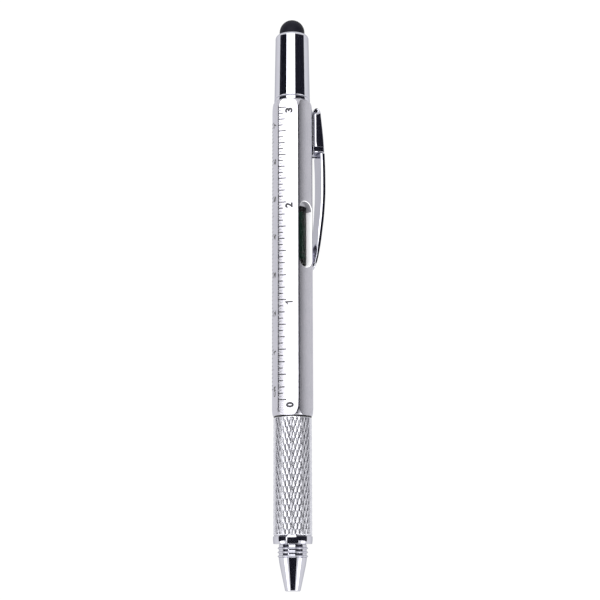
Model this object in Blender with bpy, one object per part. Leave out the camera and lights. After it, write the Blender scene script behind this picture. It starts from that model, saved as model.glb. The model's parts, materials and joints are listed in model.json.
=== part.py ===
import math

import bmesh
import bpy
from mathutils import Matrix, Vector

# All sizes are in metres. The pen lies along X, writing end at -X, stylus at +X.
# Angles round the pen are turned about X from the normal of the inch ruler face.

# Lengths along the pen
NOSE_LENGTH = 0.01125
GRIP_LENGTH = 0.03135
FLANGE_LENGTH = 0.0009
DOME_NECK = 0.0010
DOME_RADIUS = 0.0033

# Clearances
TURN_GAP = 0.0002
SEAT_GAP = 0.0001
FIT_GAP = 0.00008
RUN_GAP = 0.0001
CUT_OVERRUN = 0.001

# Hexagonal barrel
FLAT_WIDTH = 0.0095
CORNER_RADIUS = 0.0004
BORE_RADIUS = 0.0036
END_TURN_RADIUS = 0.0048
END_TURN_LENGTH = 0.0022
END_TURN_SPARE = 0.0001

# Level windows, one on each of two opposite faces
WINDOW_LENGTH = 0.0171
WINDOW_WIDTH = 0.0046
WINDOW_CHAMFER = 0.0002

# Level vial; it overlaps both ends of the window and lies a spare length behind the cam
VIAL_OVERLAP = 0.0011
VIAL_SPARE = 0.0065
VIAL_WALL = 0.00055
VIAL_PLUG_LENGTH = 0.0034
BUBBLE_HALF_LENGTH = 0.00125
BUBBLE_HALF_WIDTH = 0.00195
BUBBLE_DEPTH = 0.00095
BUBBLE_PLACE_SHARE = 0.41

# Pocket clip
CLIP_LENGTH = 0.0430
CLIP_HEIGHT = 0.00334
CLIP_WIDTH = 0.0060
CLIP_TIP_WIDTH = 0.0046
CLIP_TIP_BLUNT_SHARE = 0.45
CLIP_TAPER_SHARE = 0.5
CLIP_SHEET = 0.0005
CLIP_HEAD_LENGTH = 0.01195
CLIP_SPLIT = 0.0003
CLIP_BEND_LENGTH = 0.0019
CLIP_FOLD_DEPTH = 0.0014
CLIP_FOLD_END_SHARE = 0.3
CLIP_CORE_WIDTH = 0.0048
CLIP_SEAT = 0.0001
CLIP_DIMPLE_LENGTH = 0.0064
CLIP_DIMPLE_WIDTH = 0.0036
CLIP_DIMPLE_DEPTH = 0.0010
CLIP_DIMPLE_INSET = 0.0004
CLIP_BRIDGE_LENGTH = 0.0013
CLIP_BRIDGE_INSET = 0.00015
CLIP_TONGUE_LENGTH = 0.0108
LUG_WIDTH = 0.0021
LUG_LENGTH = 0.0013
HOOK_OVERHANG = 0.0016
HOOK_THICKNESS = 0.00055
HOOK_DROP = 0.0002
SLOT_LENGTH = 0.0034
SLOT_SIDE_GAP = 0.00015

# Outer skin of the clip: share of its length from the tip, share of its height
CLIP_CURVE_SHARES = (
    (0.000, 0.17), (0.040, 0.33), (0.090, 0.48), (0.165, 0.62), (0.240, 0.72), (0.310, 0.82),
    (0.390, 0.92), (0.460, 0.98), (0.550, 1.00), (0.620, 0.98), (0.690, 0.93), (0.760, 0.85),
    (0.840, 0.77), (0.915, 0.70), (1.000, 0.62),
)

# Grip sleeve
KNURL_RADIUS = 0.004825
BAND_RADIUS = 0.004925
BAND_END_RADIUS = 0.00482
BAND_LENGTH = 0.0019
BAND_GROOVE_WIDTH = 0.0002
BAND_GROOVE_RADIUS = 0.00462
GRIP_EDGE = 0.00015
GRIP_CORE_RADIUS = 0.0020
JOURNAL_LENGTH = 0.0070
SOCKET_DEPTH = 0.0056
TUBE_SEAT_DEPTH = 0.0070

# Rings on the grip's journal; a seal ring fills a share of the gap outside its groove
SEAL_CORD_RADIUS = 0.00024
SEAL_GROOVE_DEPTH = 0.00045
SEAL_GROOVE_WIDTH = 0.0006
SEAL_PLACE = 0.0013
SEAL_REACH_SHARE = 0.5
RETAINER_PLACE = 0.0045
RETAINER_LENGTH = 0.0006
RETAINER_BITE = 0.00025
RETAINER_DEPTH = 0.0004
RETAINER_OPENING = math.radians(50)

# Twist unit inside the barrel; the cam reaches beyond the pin's travel at both ends
CAM_SPARE = 0.0040
CAM_FORE = 0.00626
CAM_AFT = 0.00824
CAM_WALL = 0.0008
DRIVE_WALL = 0.0005
REFILL_TRAVEL = 0.0050
TWIST_ANGLE = math.radians(180)
PIN_RADIUS = 0.0007
PIN_SIDE_GAP = 0.0001
PIN_ANGLE = math.radians(150)
CARRIER_LENGTH = 0.0090
CARRIER_GRIP_LENGTH = 0.0068
CARRIER_FIT = 0.00006
PIN_PLACE = 0.0030

# Refill
REFILL_RADIUS = 0.001175
REFILL_WALL = 0.000175
REFILL_RECESS = 0.0018
POINT_LENGTH = 0.0060
POINT_CONE_LENGTH = 0.0029
POINT_RADIUS = 0.0011
POINT_TIP_RADIUS = 0.00048
POINT_SHANK_LENGTH = 0.0035
BALL_RADIUS = 0.00035
BALL_SOCKET_GAP = 0.00003
BALL_SHOWING = 0.00022
INK_LENGTH = 0.0400

# Nose
NOSE_TIP_RADIUS = 0.00192
NOSE_TIP_EDGE = 0.0002
NOSE_CONE_LENGTH = 0.00625
NOSE_CONE_RADIUS = 0.00322
NOSE_SHOULDER_LENGTH = 0.0019
NOSE_SHOULDER_RADIUS = 0.00352
NOSE_RING_RADIUS = 0.00375
NOSE_GROOVE_RADIUS = 0.00338
NOSE_RING_PITCH = 0.00098
NOSE_RING_WIDTH = 0.00052
NOSE_RING_COUNT = 3
NOSE_HOLE_RADIUS = 0.00130
NOSE_HOLE_LENGTH = 0.0034
NOSE_BORE_RADIUS = 0.0021
NOSE_SPIGOT_RADIUS = 0.0033
NOSE_SPIGOT_LENGTH = 0.0052

# Bit holder and double-ended bit
HOLDER_DEPTH = 0.0098
HOLDER_SPARE = 0.0004
FLANGE_RADIUS = 0.00468
NECK_RADIUS = 0.0035
NECK_LENGTH = 0.0058
NECK_SEAL_PLACE = 0.0035
NECK_EDGE = 0.0002
SOCKET_FLAT_WIDTH = 0.0041
SOCKET_HEX_DEPTH = 0.0083
HOLDER_BORE_RADIUS = 0.0018
BIT_FLAT_WIDTH = 0.0040
BIT_HEX_LENGTH = 0.0120
BIT_END_LENGTH = 0.0052
BIT_LIFT = 0.0003
BIT_SPARE = 0.00025
BIT_SHANK_RADIUS = 0.0015
BIT_BLADE_THICKNESS = 0.0005
BIT_CROSS_RADIUS = 0.0007

# Bit: shares of an end's length where the blade stops and the shank starts,
# where the cross point's flutes start and are full, of its radius there, and of the flutes' depth
BIT_BLADE_SHARES = (0.25, 0.75)
BIT_FLUTE_SHARES = (0.45, 0.65)
BIT_POINT_SHARE = 0.8
BIT_FLUTE_DEPTH_SHARE = 0.45

# Cap and stylus
CAP_FOOT_RADIUS = 0.00464
CAP_TOP_RADIUS = 0.00437
CAP_SHOULDER = 0.0010
CAP_FOOT_CHAMFER = 0.00022
CAP_BORE_RADIUS = 0.00372
CAP_LIP = 0.0011
DOME_WALL = 0.0008
DOME_RIM_THICKNESS = 0.0005
INSERT_DISC = 0.0008
INSERT_SPIGOT_LENGTH = 0.0014

# Angles of the faces that carry something
FACE_STEP = math.radians(60)
WINDOW_FACES = (FACE_STEP, 4 * FACE_STEP)
CLIP_FACE = 2 * FACE_STEP
REST_CORNER = 3.5 * FACE_STEP

# Facet counts
ROUND_SIDES = 32
INNER_SIDES = 24
SMALL_SIDES = 16
CORD_SIDES = 10
BIT_SIDES = 24
ARC_STEPS = 4
CURVE_STEPS = 6
SLOT_STEPS = 24
CLIP_STATIONS = 32
CLIP_ACROSS = 10
CLIP_CROWDING = 1.5
WELD_DISTANCE = 1e-7
SHARP_ANGLE = math.radians(35)

# Places that follow from the sizes above
APOTHEM = FLAT_WIDTH / 2
CORNER_CENTRE = (APOTHEM - CORNER_RADIUS) / math.cos(FACE_STEP / 2)
CAM_START = JOURNAL_LENGTH - TURN_GAP + CAM_SPARE
CAM_LENGTH = CAM_FORE + REFILL_TRAVEL + CAM_AFT
WINDOW_START = CAM_START + CAM_LENGTH + VIAL_SPARE + VIAL_OVERLAP
CLIP_START = WINDOW_START
LUG_SLOT_START = CLIP_START + CLIP_LENGTH - CLIP_HEAD_LENGTH - SLOT_SIDE_GAP
BARREL_LENGTH = LUG_SLOT_START + SLOT_LENGTH + HOLDER_SPARE + HOLDER_DEPTH - SEAT_GAP
BIT_REACH = NECK_LENGTH - SOCKET_HEX_DEPTH + BIT_LIFT + BIT_HEX_LENGTH + BIT_END_LENGTH
CAP_LENGTH = BIT_REACH + BIT_SPARE + INSERT_DISC + DOME_RIM_THICKNESS + SEAT_GAP + CAP_LIP
PEN_LENGTH = (NOSE_LENGTH + TURN_GAP + GRIP_LENGTH + TURN_GAP + BARREL_LENGTH + SEAT_GAP
              + FLANGE_LENGTH + SEAT_GAP + CAP_LENGTH + DOME_NECK + DOME_RADIUS)
NOSE_X = -PEN_LENGTH / 2
GRIP_X = NOSE_X + NOSE_LENGTH + TURN_GAP
GRIP_TOP_X = GRIP_X + GRIP_LENGTH
BARREL_X = GRIP_TOP_X + TURN_GAP
BARREL_TOP_X = BARREL_X + BARREL_LENGTH
FLANGE_X = BARREL_TOP_X + SEAT_GAP
FLANGE_TOP_X = FLANGE_X + FLANGE_LENGTH
CAP_X = FLANGE_TOP_X + SEAT_GAP
CAP_TOP_X = CAP_X + CAP_LENGTH
CLIP_X = BARREL_X + CLIP_START
CLIP_HEAD_X = CLIP_X + CLIP_LENGTH - CLIP_HEAD_LENGTH
CLIP_HINGE_X = CLIP_HEAD_X - CLIP_SPLIT / 2
JOURNAL_RADIUS = BORE_RADIUS - RUN_GAP
CAM_RADIUS = BORE_RADIUS - FIT_GAP
CAM_BORE_RADIUS = CAM_RADIUS - CAM_WALL
DRIVE_RADIUS = CAM_BORE_RADIUS - RUN_GAP
DRIVE_BORE_RADIUS = DRIVE_RADIUS - DRIVE_WALL
CARRIER_RADIUS = DRIVE_BORE_RADIUS - RUN_GAP
PIN_X = BARREL_X + CAM_START + CAM_FORE + REFILL_TRAVEL
CARRIER_X = PIN_X - PIN_PLACE
REFILL_X = NOSE_X + REFILL_RECESS
REFILL_LENGTH = CARRIER_X + CARRIER_GRIP_LENGTH - CARRIER_FIT - REFILL_X
PIN_SLOT_WIDTH = 2 * (PIN_RADIUS + PIN_SIDE_GAP)


def clear_scene():
    for item in list(bpy.data.objects):
        bpy.data.objects.remove(item)


def finish(name, colour, roughness, metallic, alpha=1.0):
    material = bpy.data.materials.new(name)
    material.use_nodes = True
    shader = material.node_tree.nodes["Principled BSDF"]
    shader.inputs["Base Color"].default_value = (*colour, 1.0)
    shader.inputs["Roughness"].default_value = roughness
    shader.inputs["Metallic"].default_value = metallic
    shader.inputs["Alpha"].default_value = alpha
    return material


def make_finishes():
    return {
        "satin": finish("satin_silver", (0.70, 0.70, 0.76), 0.32, 1.0),
        "chrome": finish("chrome", (0.80, 0.80, 0.82), 0.08, 1.0),
        "steel": finish("steel", (0.46, 0.46, 0.48), 0.30, 1.0),
        "tool_steel": finish("tool_steel", (0.20, 0.20, 0.22), 0.38, 1.0),
        "brass": finish("brass", (0.75, 0.55, 0.25), 0.30, 1.0),
        "black_rubber": finish("black_rubber", (0.015, 0.015, 0.022), 0.45, 0.0),
        "black_plastic": finish("black_plastic", (0.02, 0.02, 0.02), 0.40, 0.0),
        "clear": finish("clear_vial", (0.90, 0.95, 0.92), 0.03, 0.0, 0.35),
        "fluid": finish("green_fluid", (0.03, 0.09, 0.06), 0.05, 0.0),
        "ink": finish("blue_ink", (0.01, 0.02, 0.20), 0.30, 0.0),
    }


def reach(direction, corners):
    """How far the rounded corners (radius, angle, rounding) stand out in a direction."""
    return max(radius * math.cos(direction - angle) + rounding for radius, angle, rounding in corners)


def rounded_corners():
    """The barrel's six corners and the two outer edges of the clip, as seen along the pen."""
    corners = [(CORNER_CENTRE, (side + 0.5) * FACE_STEP, CORNER_RADIUS) for side in range(6)]
    outer = APOTHEM + CLIP_HEIGHT
    spread = math.atan2(CLIP_WIDTH / 2, outer)
    for sign in (-1, 1):
        corners.append((math.hypot(outer, CLIP_WIDTH / 2), CLIP_FACE + sign * spread, 0.0))
    return corners


def resting_place():
    """The pen lies on one corner of its barrel and on the outer edge of its clip.
    Both reach equally far down there: a cos(down) + b sin(down) = c."""
    corners = rounded_corners()
    edge_radius, edge_angle, _ = corners[-1]
    a = CORNER_CENTRE * math.cos(REST_CORNER) - edge_radius * math.cos(edge_angle)
    b = CORNER_CENTRE * math.sin(REST_CORNER) - edge_radius * math.sin(edge_angle)
    middle = math.atan2(b, a)
    spread = math.acos(-CORNER_RADIUS / math.hypot(a, b))
    down = max((middle - spread, middle + spread), key=lambda angle: reach(angle, corners[-1:]))
    roll = math.pi - down
    quarter = math.pi / 2
    side_shift = (reach(quarter - roll, corners) - reach(-quarter - roll, corners)) / 2
    return roll, side_shift, reach(down, corners)


def empty(name, parent=None, location=(0, 0, 0), turn=0.0):
    item = bpy.data.objects.new(name, None)
    bpy.context.scene.collection.objects.link(item)
    item.empty_display_size = CLIP_WIDTH
    item.parent = parent
    item.location = location
    item.rotation_euler = (turn, 0, 0)
    return item


def add_object(name, mesh, material, parent, at_x=0.0, turn=0.0):
    mesh.shade_smooth()
    mesh.set_sharp_from_angle(angle=SHARP_ANGLE)
    item = bpy.data.objects.new(name, mesh)
    bpy.context.scene.collection.objects.link(item)
    if material:
        mesh.materials.append(material)
    item.parent = parent
    item.location = (at_x, 0, 0)
    item.rotation_euler = (turn, 0, 0)
    return item


def mesh_from(bm, name):
    bmesh.ops.remove_doubles(bm, verts=bm.verts, dist=WELD_DISTANCE)
    bmesh.ops.recalc_face_normals(bm, faces=bm.faces)
    mesh = bpy.data.meshes.new(name)
    bm.to_mesh(mesh)
    bm.free()
    return mesh


def turned(name, profile, sides=INNER_SIDES):
    """Solid of revolution about X. A profile that starts or ends off the axis is closed on itself."""
    bm = bmesh.new()
    verts = [bm.verts.new((x, 0, radius)) for x, radius in profile]
    pairs = list(zip(verts, verts[1:]))
    if profile[0][1] > 0 or profile[-1][1] > 0:
        pairs.append((verts[-1], verts[0]))
    edges = [bm.edges.new(pair) for pair in pairs]
    bmesh.ops.spin(bm, geom=verts + edges, cent=(0, 0, 0), axis=(1, 0, 0), angle=math.tau,
                   steps=sides, use_merge=True)
    return mesh_from(bm, name)


def lofted(name, rings, transform=None):
    """Closed solid through section loops that all have the same number of points."""
    bm = bmesh.new()
    loops = [[bm.verts.new(point) for point in ring] for ring in rings]
    for near, far in zip(loops, loops[1:]):
        for index in range(len(near)):
            bm.faces.new((near[index - 1], near[index], far[index], far[index - 1]))
    bm.faces.new(loops[0])
    bm.faces.new(loops[-1])
    if transform:
        bm.transform(transform)
    return mesh_from(bm, name)


def bar(name, outline, length, start=0.0):
    """Prism along X over an outline in Y and Z."""
    return lofted(name, [[(x, y, z) for y, z in outline] for x in (start, start + length)])


def slab(name, outline, low_y, high_y):
    """Prism across the pen over an outline in X and Z."""
    return lofted(name, [[(x, y, z) for x, z in outline] for y in (low_y, high_y)])


def box(name, low, high):
    corners = ((low[1], low[2]), (high[1], low[2]), (high[1], high[2]), (low[1], high[2]))
    return bar(name, corners, high[0] - low[0], low[0])


def combine(item, other, operation):
    """Boolean of a helper object that the build leaves out."""
    other.hide_render = True
    other.display_type = "WIRE"
    change = item.modifiers.new(other.name, "BOOLEAN")
    change.operation = operation
    change.solver = "EXACT"
    change.object = other


def arc(centre, radii, start, end, steps):
    """Points on an elliptic arc, angles in quarter turns from +X towards +Z."""
    points = []
    for step in range(steps + 1):
        angle = (start + (end - start) * step / steps) * math.pi / 2
        points.append((centre[0] + radii[0] * math.cos(angle), centre[1] + radii[1] * math.sin(angle)))
    return points


def hexagon(apothem, rounding=0.0):
    """Outline in Y and Z with a flat at +Z and its corners rounded."""
    centre = (apothem - rounding) / math.cos(FACE_STEP / 2)
    points = []
    for side in range(6):
        middle = (side + 0.5) * FACE_STEP
        steps = ARC_STEPS if rounding else 0
        for step in range(steps + 1):
            angle = middle + (step / steps - 0.5) * FACE_STEP if steps else middle
            points.append((-centre * math.sin(middle) - rounding * math.sin(angle),
                           centre * math.cos(middle) + rounding * math.cos(angle)))
    return points


def window_outline(growth):
    radius = WINDOW_WIDTH / 2 + growth
    half = (WINDOW_LENGTH - WINDOW_WIDTH) / 2
    right = arc((half, 0), (radius, radius), -1, 1, 2 * ARC_STEPS)
    left = arc((-half, 0), (radius, radius), 1, 3, 2 * ARC_STEPS)
    return right + left


def window_cutter(index, angle, parent):
    levels = ((BORE_RADIUS / 2, 0.0), (APOTHEM - WINDOW_CHAMFER, 0.0),
              (APOTHEM + CUT_OVERRUN, WINDOW_CHAMFER + CUT_OVERRUN))
    rings = [[(x, y, height) for x, y in window_outline(growth)] for height, growth in levels]
    middle = BARREL_X + WINDOW_START + WINDOW_LENGTH / 2
    return add_object(f"cut_window_{index}", lofted("cut_window", rings), None, parent, middle, angle)


def end_envelope(parent):
    """Turned body that rounds off the corners of the barrel at both ends.
    The ellipse is stretched so that it meets the corners where the turned end stops."""
    corner_rise = CORNER_CENTRE + CORNER_RADIUS - END_TURN_RADIUS
    rise = corner_rise + END_TURN_SPARE
    share = corner_rise / rise
    length = END_TURN_LENGTH / (1 - math.sqrt(1 - share * share))
    low = arc((length, END_TURN_RADIUS), (length, rise), 2, 1, 2 * CURVE_STEPS)
    low = [(-CUT_OVERRUN, 0), (-CUT_OVERRUN, END_TURN_RADIUS)] + low
    profile = low + [(BARREL_LENGTH - x, radius) for x, radius in reversed(low)]
    return add_object("cut_ends", turned("cut_ends", profile, ROUND_SIDES), None, parent, BARREL_X)


def hex_barrel(parent, finishes):
    item = add_object("hex_barrel", bar("hex_barrel", hexagon(APOTHEM, CORNER_RADIUS), BARREL_LENGTH),
                      finishes["satin"], parent, BARREL_X)
    combine(item, end_envelope(parent), "INTERSECT")
    groove_radius = BORE_RADIUS + RETAINER_BITE + RUN_GAP
    groove = RETAINER_PLACE - TURN_GAP
    bore = [(-CUT_OVERRUN, 0), (-CUT_OVERRUN, BORE_RADIUS),
            (groove - RUN_GAP, BORE_RADIUS), (groove - RUN_GAP, groove_radius),
            (groove + RETAINER_LENGTH + RUN_GAP, groove_radius),
            (groove + RETAINER_LENGTH + RUN_GAP, BORE_RADIUS),
            (BARREL_LENGTH + CUT_OVERRUN, BORE_RADIUS), (BARREL_LENGTH + CUT_OVERRUN, 0)]
    combine(item, add_object("cut_bore", turned("cut_bore", bore, INNER_SIDES), None, parent, BARREL_X),
            "DIFFERENCE")
    for index, angle in enumerate(WINDOW_FACES):
        combine(item, window_cutter(index, angle, parent), "DIFFERENCE")
    half = LUG_WIDTH / 2 + SLOT_SIDE_GAP
    start = BARREL_X + LUG_SLOT_START
    slot = box("cut_lug_slot", (start, -half, BORE_RADIUS / 2),
               (start + SLOT_LENGTH, half, APOTHEM + CUT_OVERRUN))
    combine(item, add_object("cut_lug_slot", slot, None, parent, 0.0, CLIP_FACE), "DIFFERENCE")


def clip_height(x):
    """Outer skin above the face: smooth curve through the shares, in metres."""
    place = (x - CLIP_X) / CLIP_LENGTH
    table = CLIP_CURVE_SHARES
    last = len(table) - 2
    index = min(max(sum(1 for share, _ in table if share <= place) - 1, 0), last)
    before, start, end, after = (table[min(max(index + step, 0), last + 1)] for step in (-1, 0, 1, 2))
    span = end[0] - start[0]
    t = (place - start[0]) / span
    slope_start = (end[1] - before[1]) / (end[0] - before[0]) * span
    slope_end = (after[1] - start[1]) / (after[0] - start[0]) * span
    rise = end[1] - start[1]
    cubic = start[1] + t * (slope_start + t * ((3 * rise - 2 * slope_start - slope_end)
                                               + t * (slope_start + slope_end - 2 * rise)))
    return CLIP_HEIGHT * cubic


def skin_line(low, high, drop, steps):
    """Points along the clip's outer skin, lowered by a depth."""
    points = []
    for step in range(steps + 1):
        x = low + (high - low) * step / steps
        points.append((x, APOTHEM + clip_height(x) - drop))
    return points


def clip_head(parent, finishes):
    bend_x = CLIP_X + CLIP_LENGTH - CLIP_BEND_LENGTH
    seat = APOTHEM + CLIP_SEAT
    top = APOTHEM + clip_height(bend_x)
    centre = (bend_x, (top + seat) / 2)
    outer_radii = (CLIP_BEND_LENGTH, (top - seat) / 2)
    inner_radii = tuple(radius - CLIP_SHEET for radius in outer_radii)
    tongue_x = bend_x - CLIP_TONGUE_LENGTH
    outline = skin_line(CLIP_HEAD_X, bend_x, 0.0, 2 * ARC_STEPS)[:-1]
    outline += arc(centre, outer_radii, 1, -1, 2 * CURVE_STEPS)
    outline += [(tongue_x, seat), (tongue_x, seat + CLIP_SHEET)]
    outline += arc(centre, inner_radii, -1, 1, 2 * CURVE_STEPS)
    outline += reversed(skin_line(CLIP_HEAD_X, bend_x, CLIP_SHEET, 2 * ARC_STEPS)[:-1])
    half_core = CLIP_CORE_WIDTH / 2
    item = add_object("clip_head", slab("clip_head", outline, -half_core, half_core),
                      finishes["chrome"], parent, 0.0, CLIP_FACE)

    fold = skin_line(CLIP_HEAD_X, bend_x, 0.0, 2 * ARC_STEPS)[:-1]
    fold += arc(centre, outer_radii, 1, CLIP_FOLD_END_SHARE, ARC_STEPS)
    fold += reversed(skin_line(CLIP_HEAD_X, bend_x, CLIP_FOLD_DEPTH, 2 * ARC_STEPS))
    inner = half_core - CLIP_SHEET / 2
    for name, low, high in (("fold_low", -CLIP_WIDTH / 2, -inner), ("fold_high", inner, CLIP_WIDTH / 2)):
        combine(item, add_object(name, slab(name, fold, low, high), None, parent, 0.0, CLIP_FACE), "UNION")

    bridge_x = CLIP_HEAD_X + CLIP_BRIDGE_INSET
    bridge_end = bridge_x + CLIP_BRIDGE_LENGTH
    bridge = box("bridge", (bridge_x, -inner, seat + CLIP_SHEET / 2),
                 (bridge_end, inner, APOTHEM + clip_height(bridge_end) - CLIP_SHEET / 2))
    combine(item, add_object("bridge", bridge, None, parent, 0.0, CLIP_FACE), "UNION")

    lug_x = CLIP_HEAD_X
    hook_top = math.sqrt(BORE_RADIUS ** 2 - (LUG_WIDTH / 2) ** 2) - HOOK_DROP
    lug = [(lug_x, hook_top), (lug_x - HOOK_OVERHANG, hook_top),
           (lug_x - HOOK_OVERHANG, hook_top - HOOK_THICKNESS),
           (lug_x + LUG_LENGTH, hook_top - HOOK_THICKNESS),
           (lug_x + LUG_LENGTH, seat + CLIP_SHEET / 2), (lug_x, seat + CLIP_SHEET / 2)]
    lug_mesh = slab("lug", lug, -LUG_WIDTH / 2, LUG_WIDTH / 2)
    combine(item, add_object("lug", lug_mesh, None, parent, 0.0, CLIP_FACE), "UNION")


def dimple_depth(x, y):
    """Pressed bump near the tip: an ellipse with a raised cosine section."""
    middle = CLIP_X + CLIP_DIMPLE_INSET + CLIP_DIMPLE_LENGTH / 2
    away = math.hypot((x - middle) / (CLIP_DIMPLE_LENGTH / 2), y / (CLIP_DIMPLE_WIDTH / 2))
    if away >= 1:
        return 0.0
    return CLIP_DIMPLE_DEPTH * (1 + math.cos(math.pi * away)) / 2


def clip_arm(parent, finishes):
    """Springy strip with a rounded tip; each section is a flat loop, skin first."""
    end_x = CLIP_HEAD_X - CLIP_SPLIT
    length = end_x - CLIP_X
    rings = []
    for station in range(CLIP_STATIONS + 1):
        # Stations crowd towards the rounded tip
        share = (station / CLIP_STATIONS) ** CLIP_CROWDING
        x = CLIP_X + length * share
        widening = min(share / CLIP_TAPER_SHARE, 1)
        half = (CLIP_TIP_WIDTH + (CLIP_WIDTH - CLIP_TIP_WIDTH) * widening) / 2
        round_end = min((x - CLIP_X) / (CLIP_TIP_WIDTH / 2), 1)
        bow = math.sqrt(1 - (1 - round_end) ** 2)
        half *= CLIP_TIP_BLUNT_SHARE + (1 - CLIP_TIP_BLUNT_SHARE) * bow
        skin = []
        for step in range(CLIP_ACROSS + 1):
            across = step / CLIP_ACROSS
            y = half * across - half * (1 - across)
            skin.append((x, y, APOTHEM + clip_height(x) - dimple_depth(x, y)))
        under = [(px, py, pz - CLIP_SHEET) for px, py, pz in reversed(skin)]
        rings.append(skin + under)
    hinge = Vector((CLIP_HINGE_X, 0, APOTHEM + clip_height(CLIP_HINGE_X) - CLIP_SHEET / 2))
    mesh = lofted("clip_arm", rings, Matrix.Translation(-hinge))
    face = empty("clip_face", parent, (0, 0, 0), CLIP_FACE)
    hinge_line = empty("clip_hinge_line", face, hinge)
    add_object("clip_arm", mesh, finishes["chrome"], hinge_line)


def tube_profile(length, outer, inner):
    return [(0, inner), (0, outer), (length, outer), (length, inner)]


def ring_profile(centre_x, centre_radius, cord):
    return arc((centre_x, centre_radius), (cord, cord), 0, 4, CORD_SIDES)[:-1]


def level_vial(parent, finishes):
    outer = BORE_RADIUS - RUN_GAP
    inner = outer - VIAL_WALL
    length = WINDOW_LENGTH + 2 * VIAL_OVERLAP
    start = BARREL_X + WINDOW_START - VIAL_OVERLAP
    add_object("vial_tube", turned("vial_tube", tube_profile(length, outer, inner), ROUND_SIDES),
               finishes["clear"], parent, start)
    core = inner - FIT_GAP
    for name, place in (("vial_plug_lower", start), ("vial_plug_upper", start + length - VIAL_PLUG_LENGTH)):
        plug = turned(name, [(0, 0), (0, core), (VIAL_PLUG_LENGTH, core), (VIAL_PLUG_LENGTH, 0)])
        add_object(name, plug, finishes["black_plastic"], parent, place)
    fluid_length = length - 2 * (VIAL_PLUG_LENGTH + SEAT_GAP)
    fluid_x = start + VIAL_PLUG_LENGTH + SEAT_GAP
    fluid = turned("vial_fluid", [(0, 0), (0, core), (fluid_length, core), (fluid_length, 0)])
    item = add_object("vial_fluid", fluid, finishes["fluid"], parent, fluid_x)
    bm = bmesh.new()
    bmesh.ops.create_uvsphere(bm, u_segments=SMALL_SIDES, v_segments=SMALL_SIDES // 2, radius=1)
    bm.transform(Matrix.Translation((0, 0, core))
                 @ Matrix.Diagonal((BUBBLE_HALF_LENGTH, BUBBLE_HALF_WIDTH, BUBBLE_DEPTH, 1)))
    bubble = add_object("cut_bubble", mesh_from(bm, "cut_bubble"), None, parent,
                        fluid_x + fluid_length * BUBBLE_PLACE_SHARE, -resting_place()[0])
    combine(item, bubble, "DIFFERENCE")


def helix_cutter(name, parent):
    """Slot of the cam: the pin goes forward as it turns, x = start - travel * turn / twist angle.
    The slot is widened along X for its slant."""
    slant = REFILL_TRAVEL / (TWIST_ANGLE * CAM_BORE_RADIUS)
    half = PIN_SLOT_WIDTH / 2 * math.hypot(1, slant)
    low = CAM_BORE_RADIUS - CAM_WALL
    high = CAM_RADIUS + CUT_OVERRUN
    margin = (PIN_RADIUS + PIN_SIDE_GAP) / CAM_BORE_RADIUS
    rings = []
    for step in range(SLOT_STEPS + 1):
        turn = -margin + (TWIST_ANGLE + 2 * margin) * step / SLOT_STEPS
        x = PIN_X - REFILL_TRAVEL * turn / TWIST_ANGLE
        angle = PIN_ANGLE + turn
        ring = []
        for side, radius in ((-half, low), (half, low), (half, high), (-half, high)):
            ring.append((x + side, -radius * math.sin(angle), radius * math.cos(angle)))
        rings.append(ring)
    return add_object(name, lofted(name, rings), None, parent)


def twist_cam(parent, finishes):
    profile = tube_profile(CAM_LENGTH, CAM_RADIUS, CAM_BORE_RADIUS)
    item = add_object("cam_sleeve", turned("cam_sleeve", profile), finishes["brass"], parent,
                      BARREL_X + CAM_START)
    combine(item, helix_cutter("cut_helix", parent), "DIFFERENCE")


def retaining_ring(parent, finishes):
    """Open spring ring that sits in the barrel's groove and holds the journal."""
    inner = JOURNAL_RADIUS - RETAINER_DEPTH + RUN_GAP
    outer = BORE_RADIUS + RETAINER_BITE
    rings = []
    for step in range(SLOT_STEPS + 1):
        angle = RETAINER_OPENING / 2 + (math.tau - RETAINER_OPENING) * step / SLOT_STEPS
        ring = []
        for x, radius in ((0, inner), (RETAINER_LENGTH, inner),
                          (RETAINER_LENGTH, outer), (0, outer)):
            ring.append((x, -radius * math.sin(angle), radius * math.cos(angle)))
        rings.append(ring)
    add_object("retaining_ring", lofted("retaining_ring", rings), finishes["steel"], parent,
               GRIP_TOP_X + RETAINER_PLACE)


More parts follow.
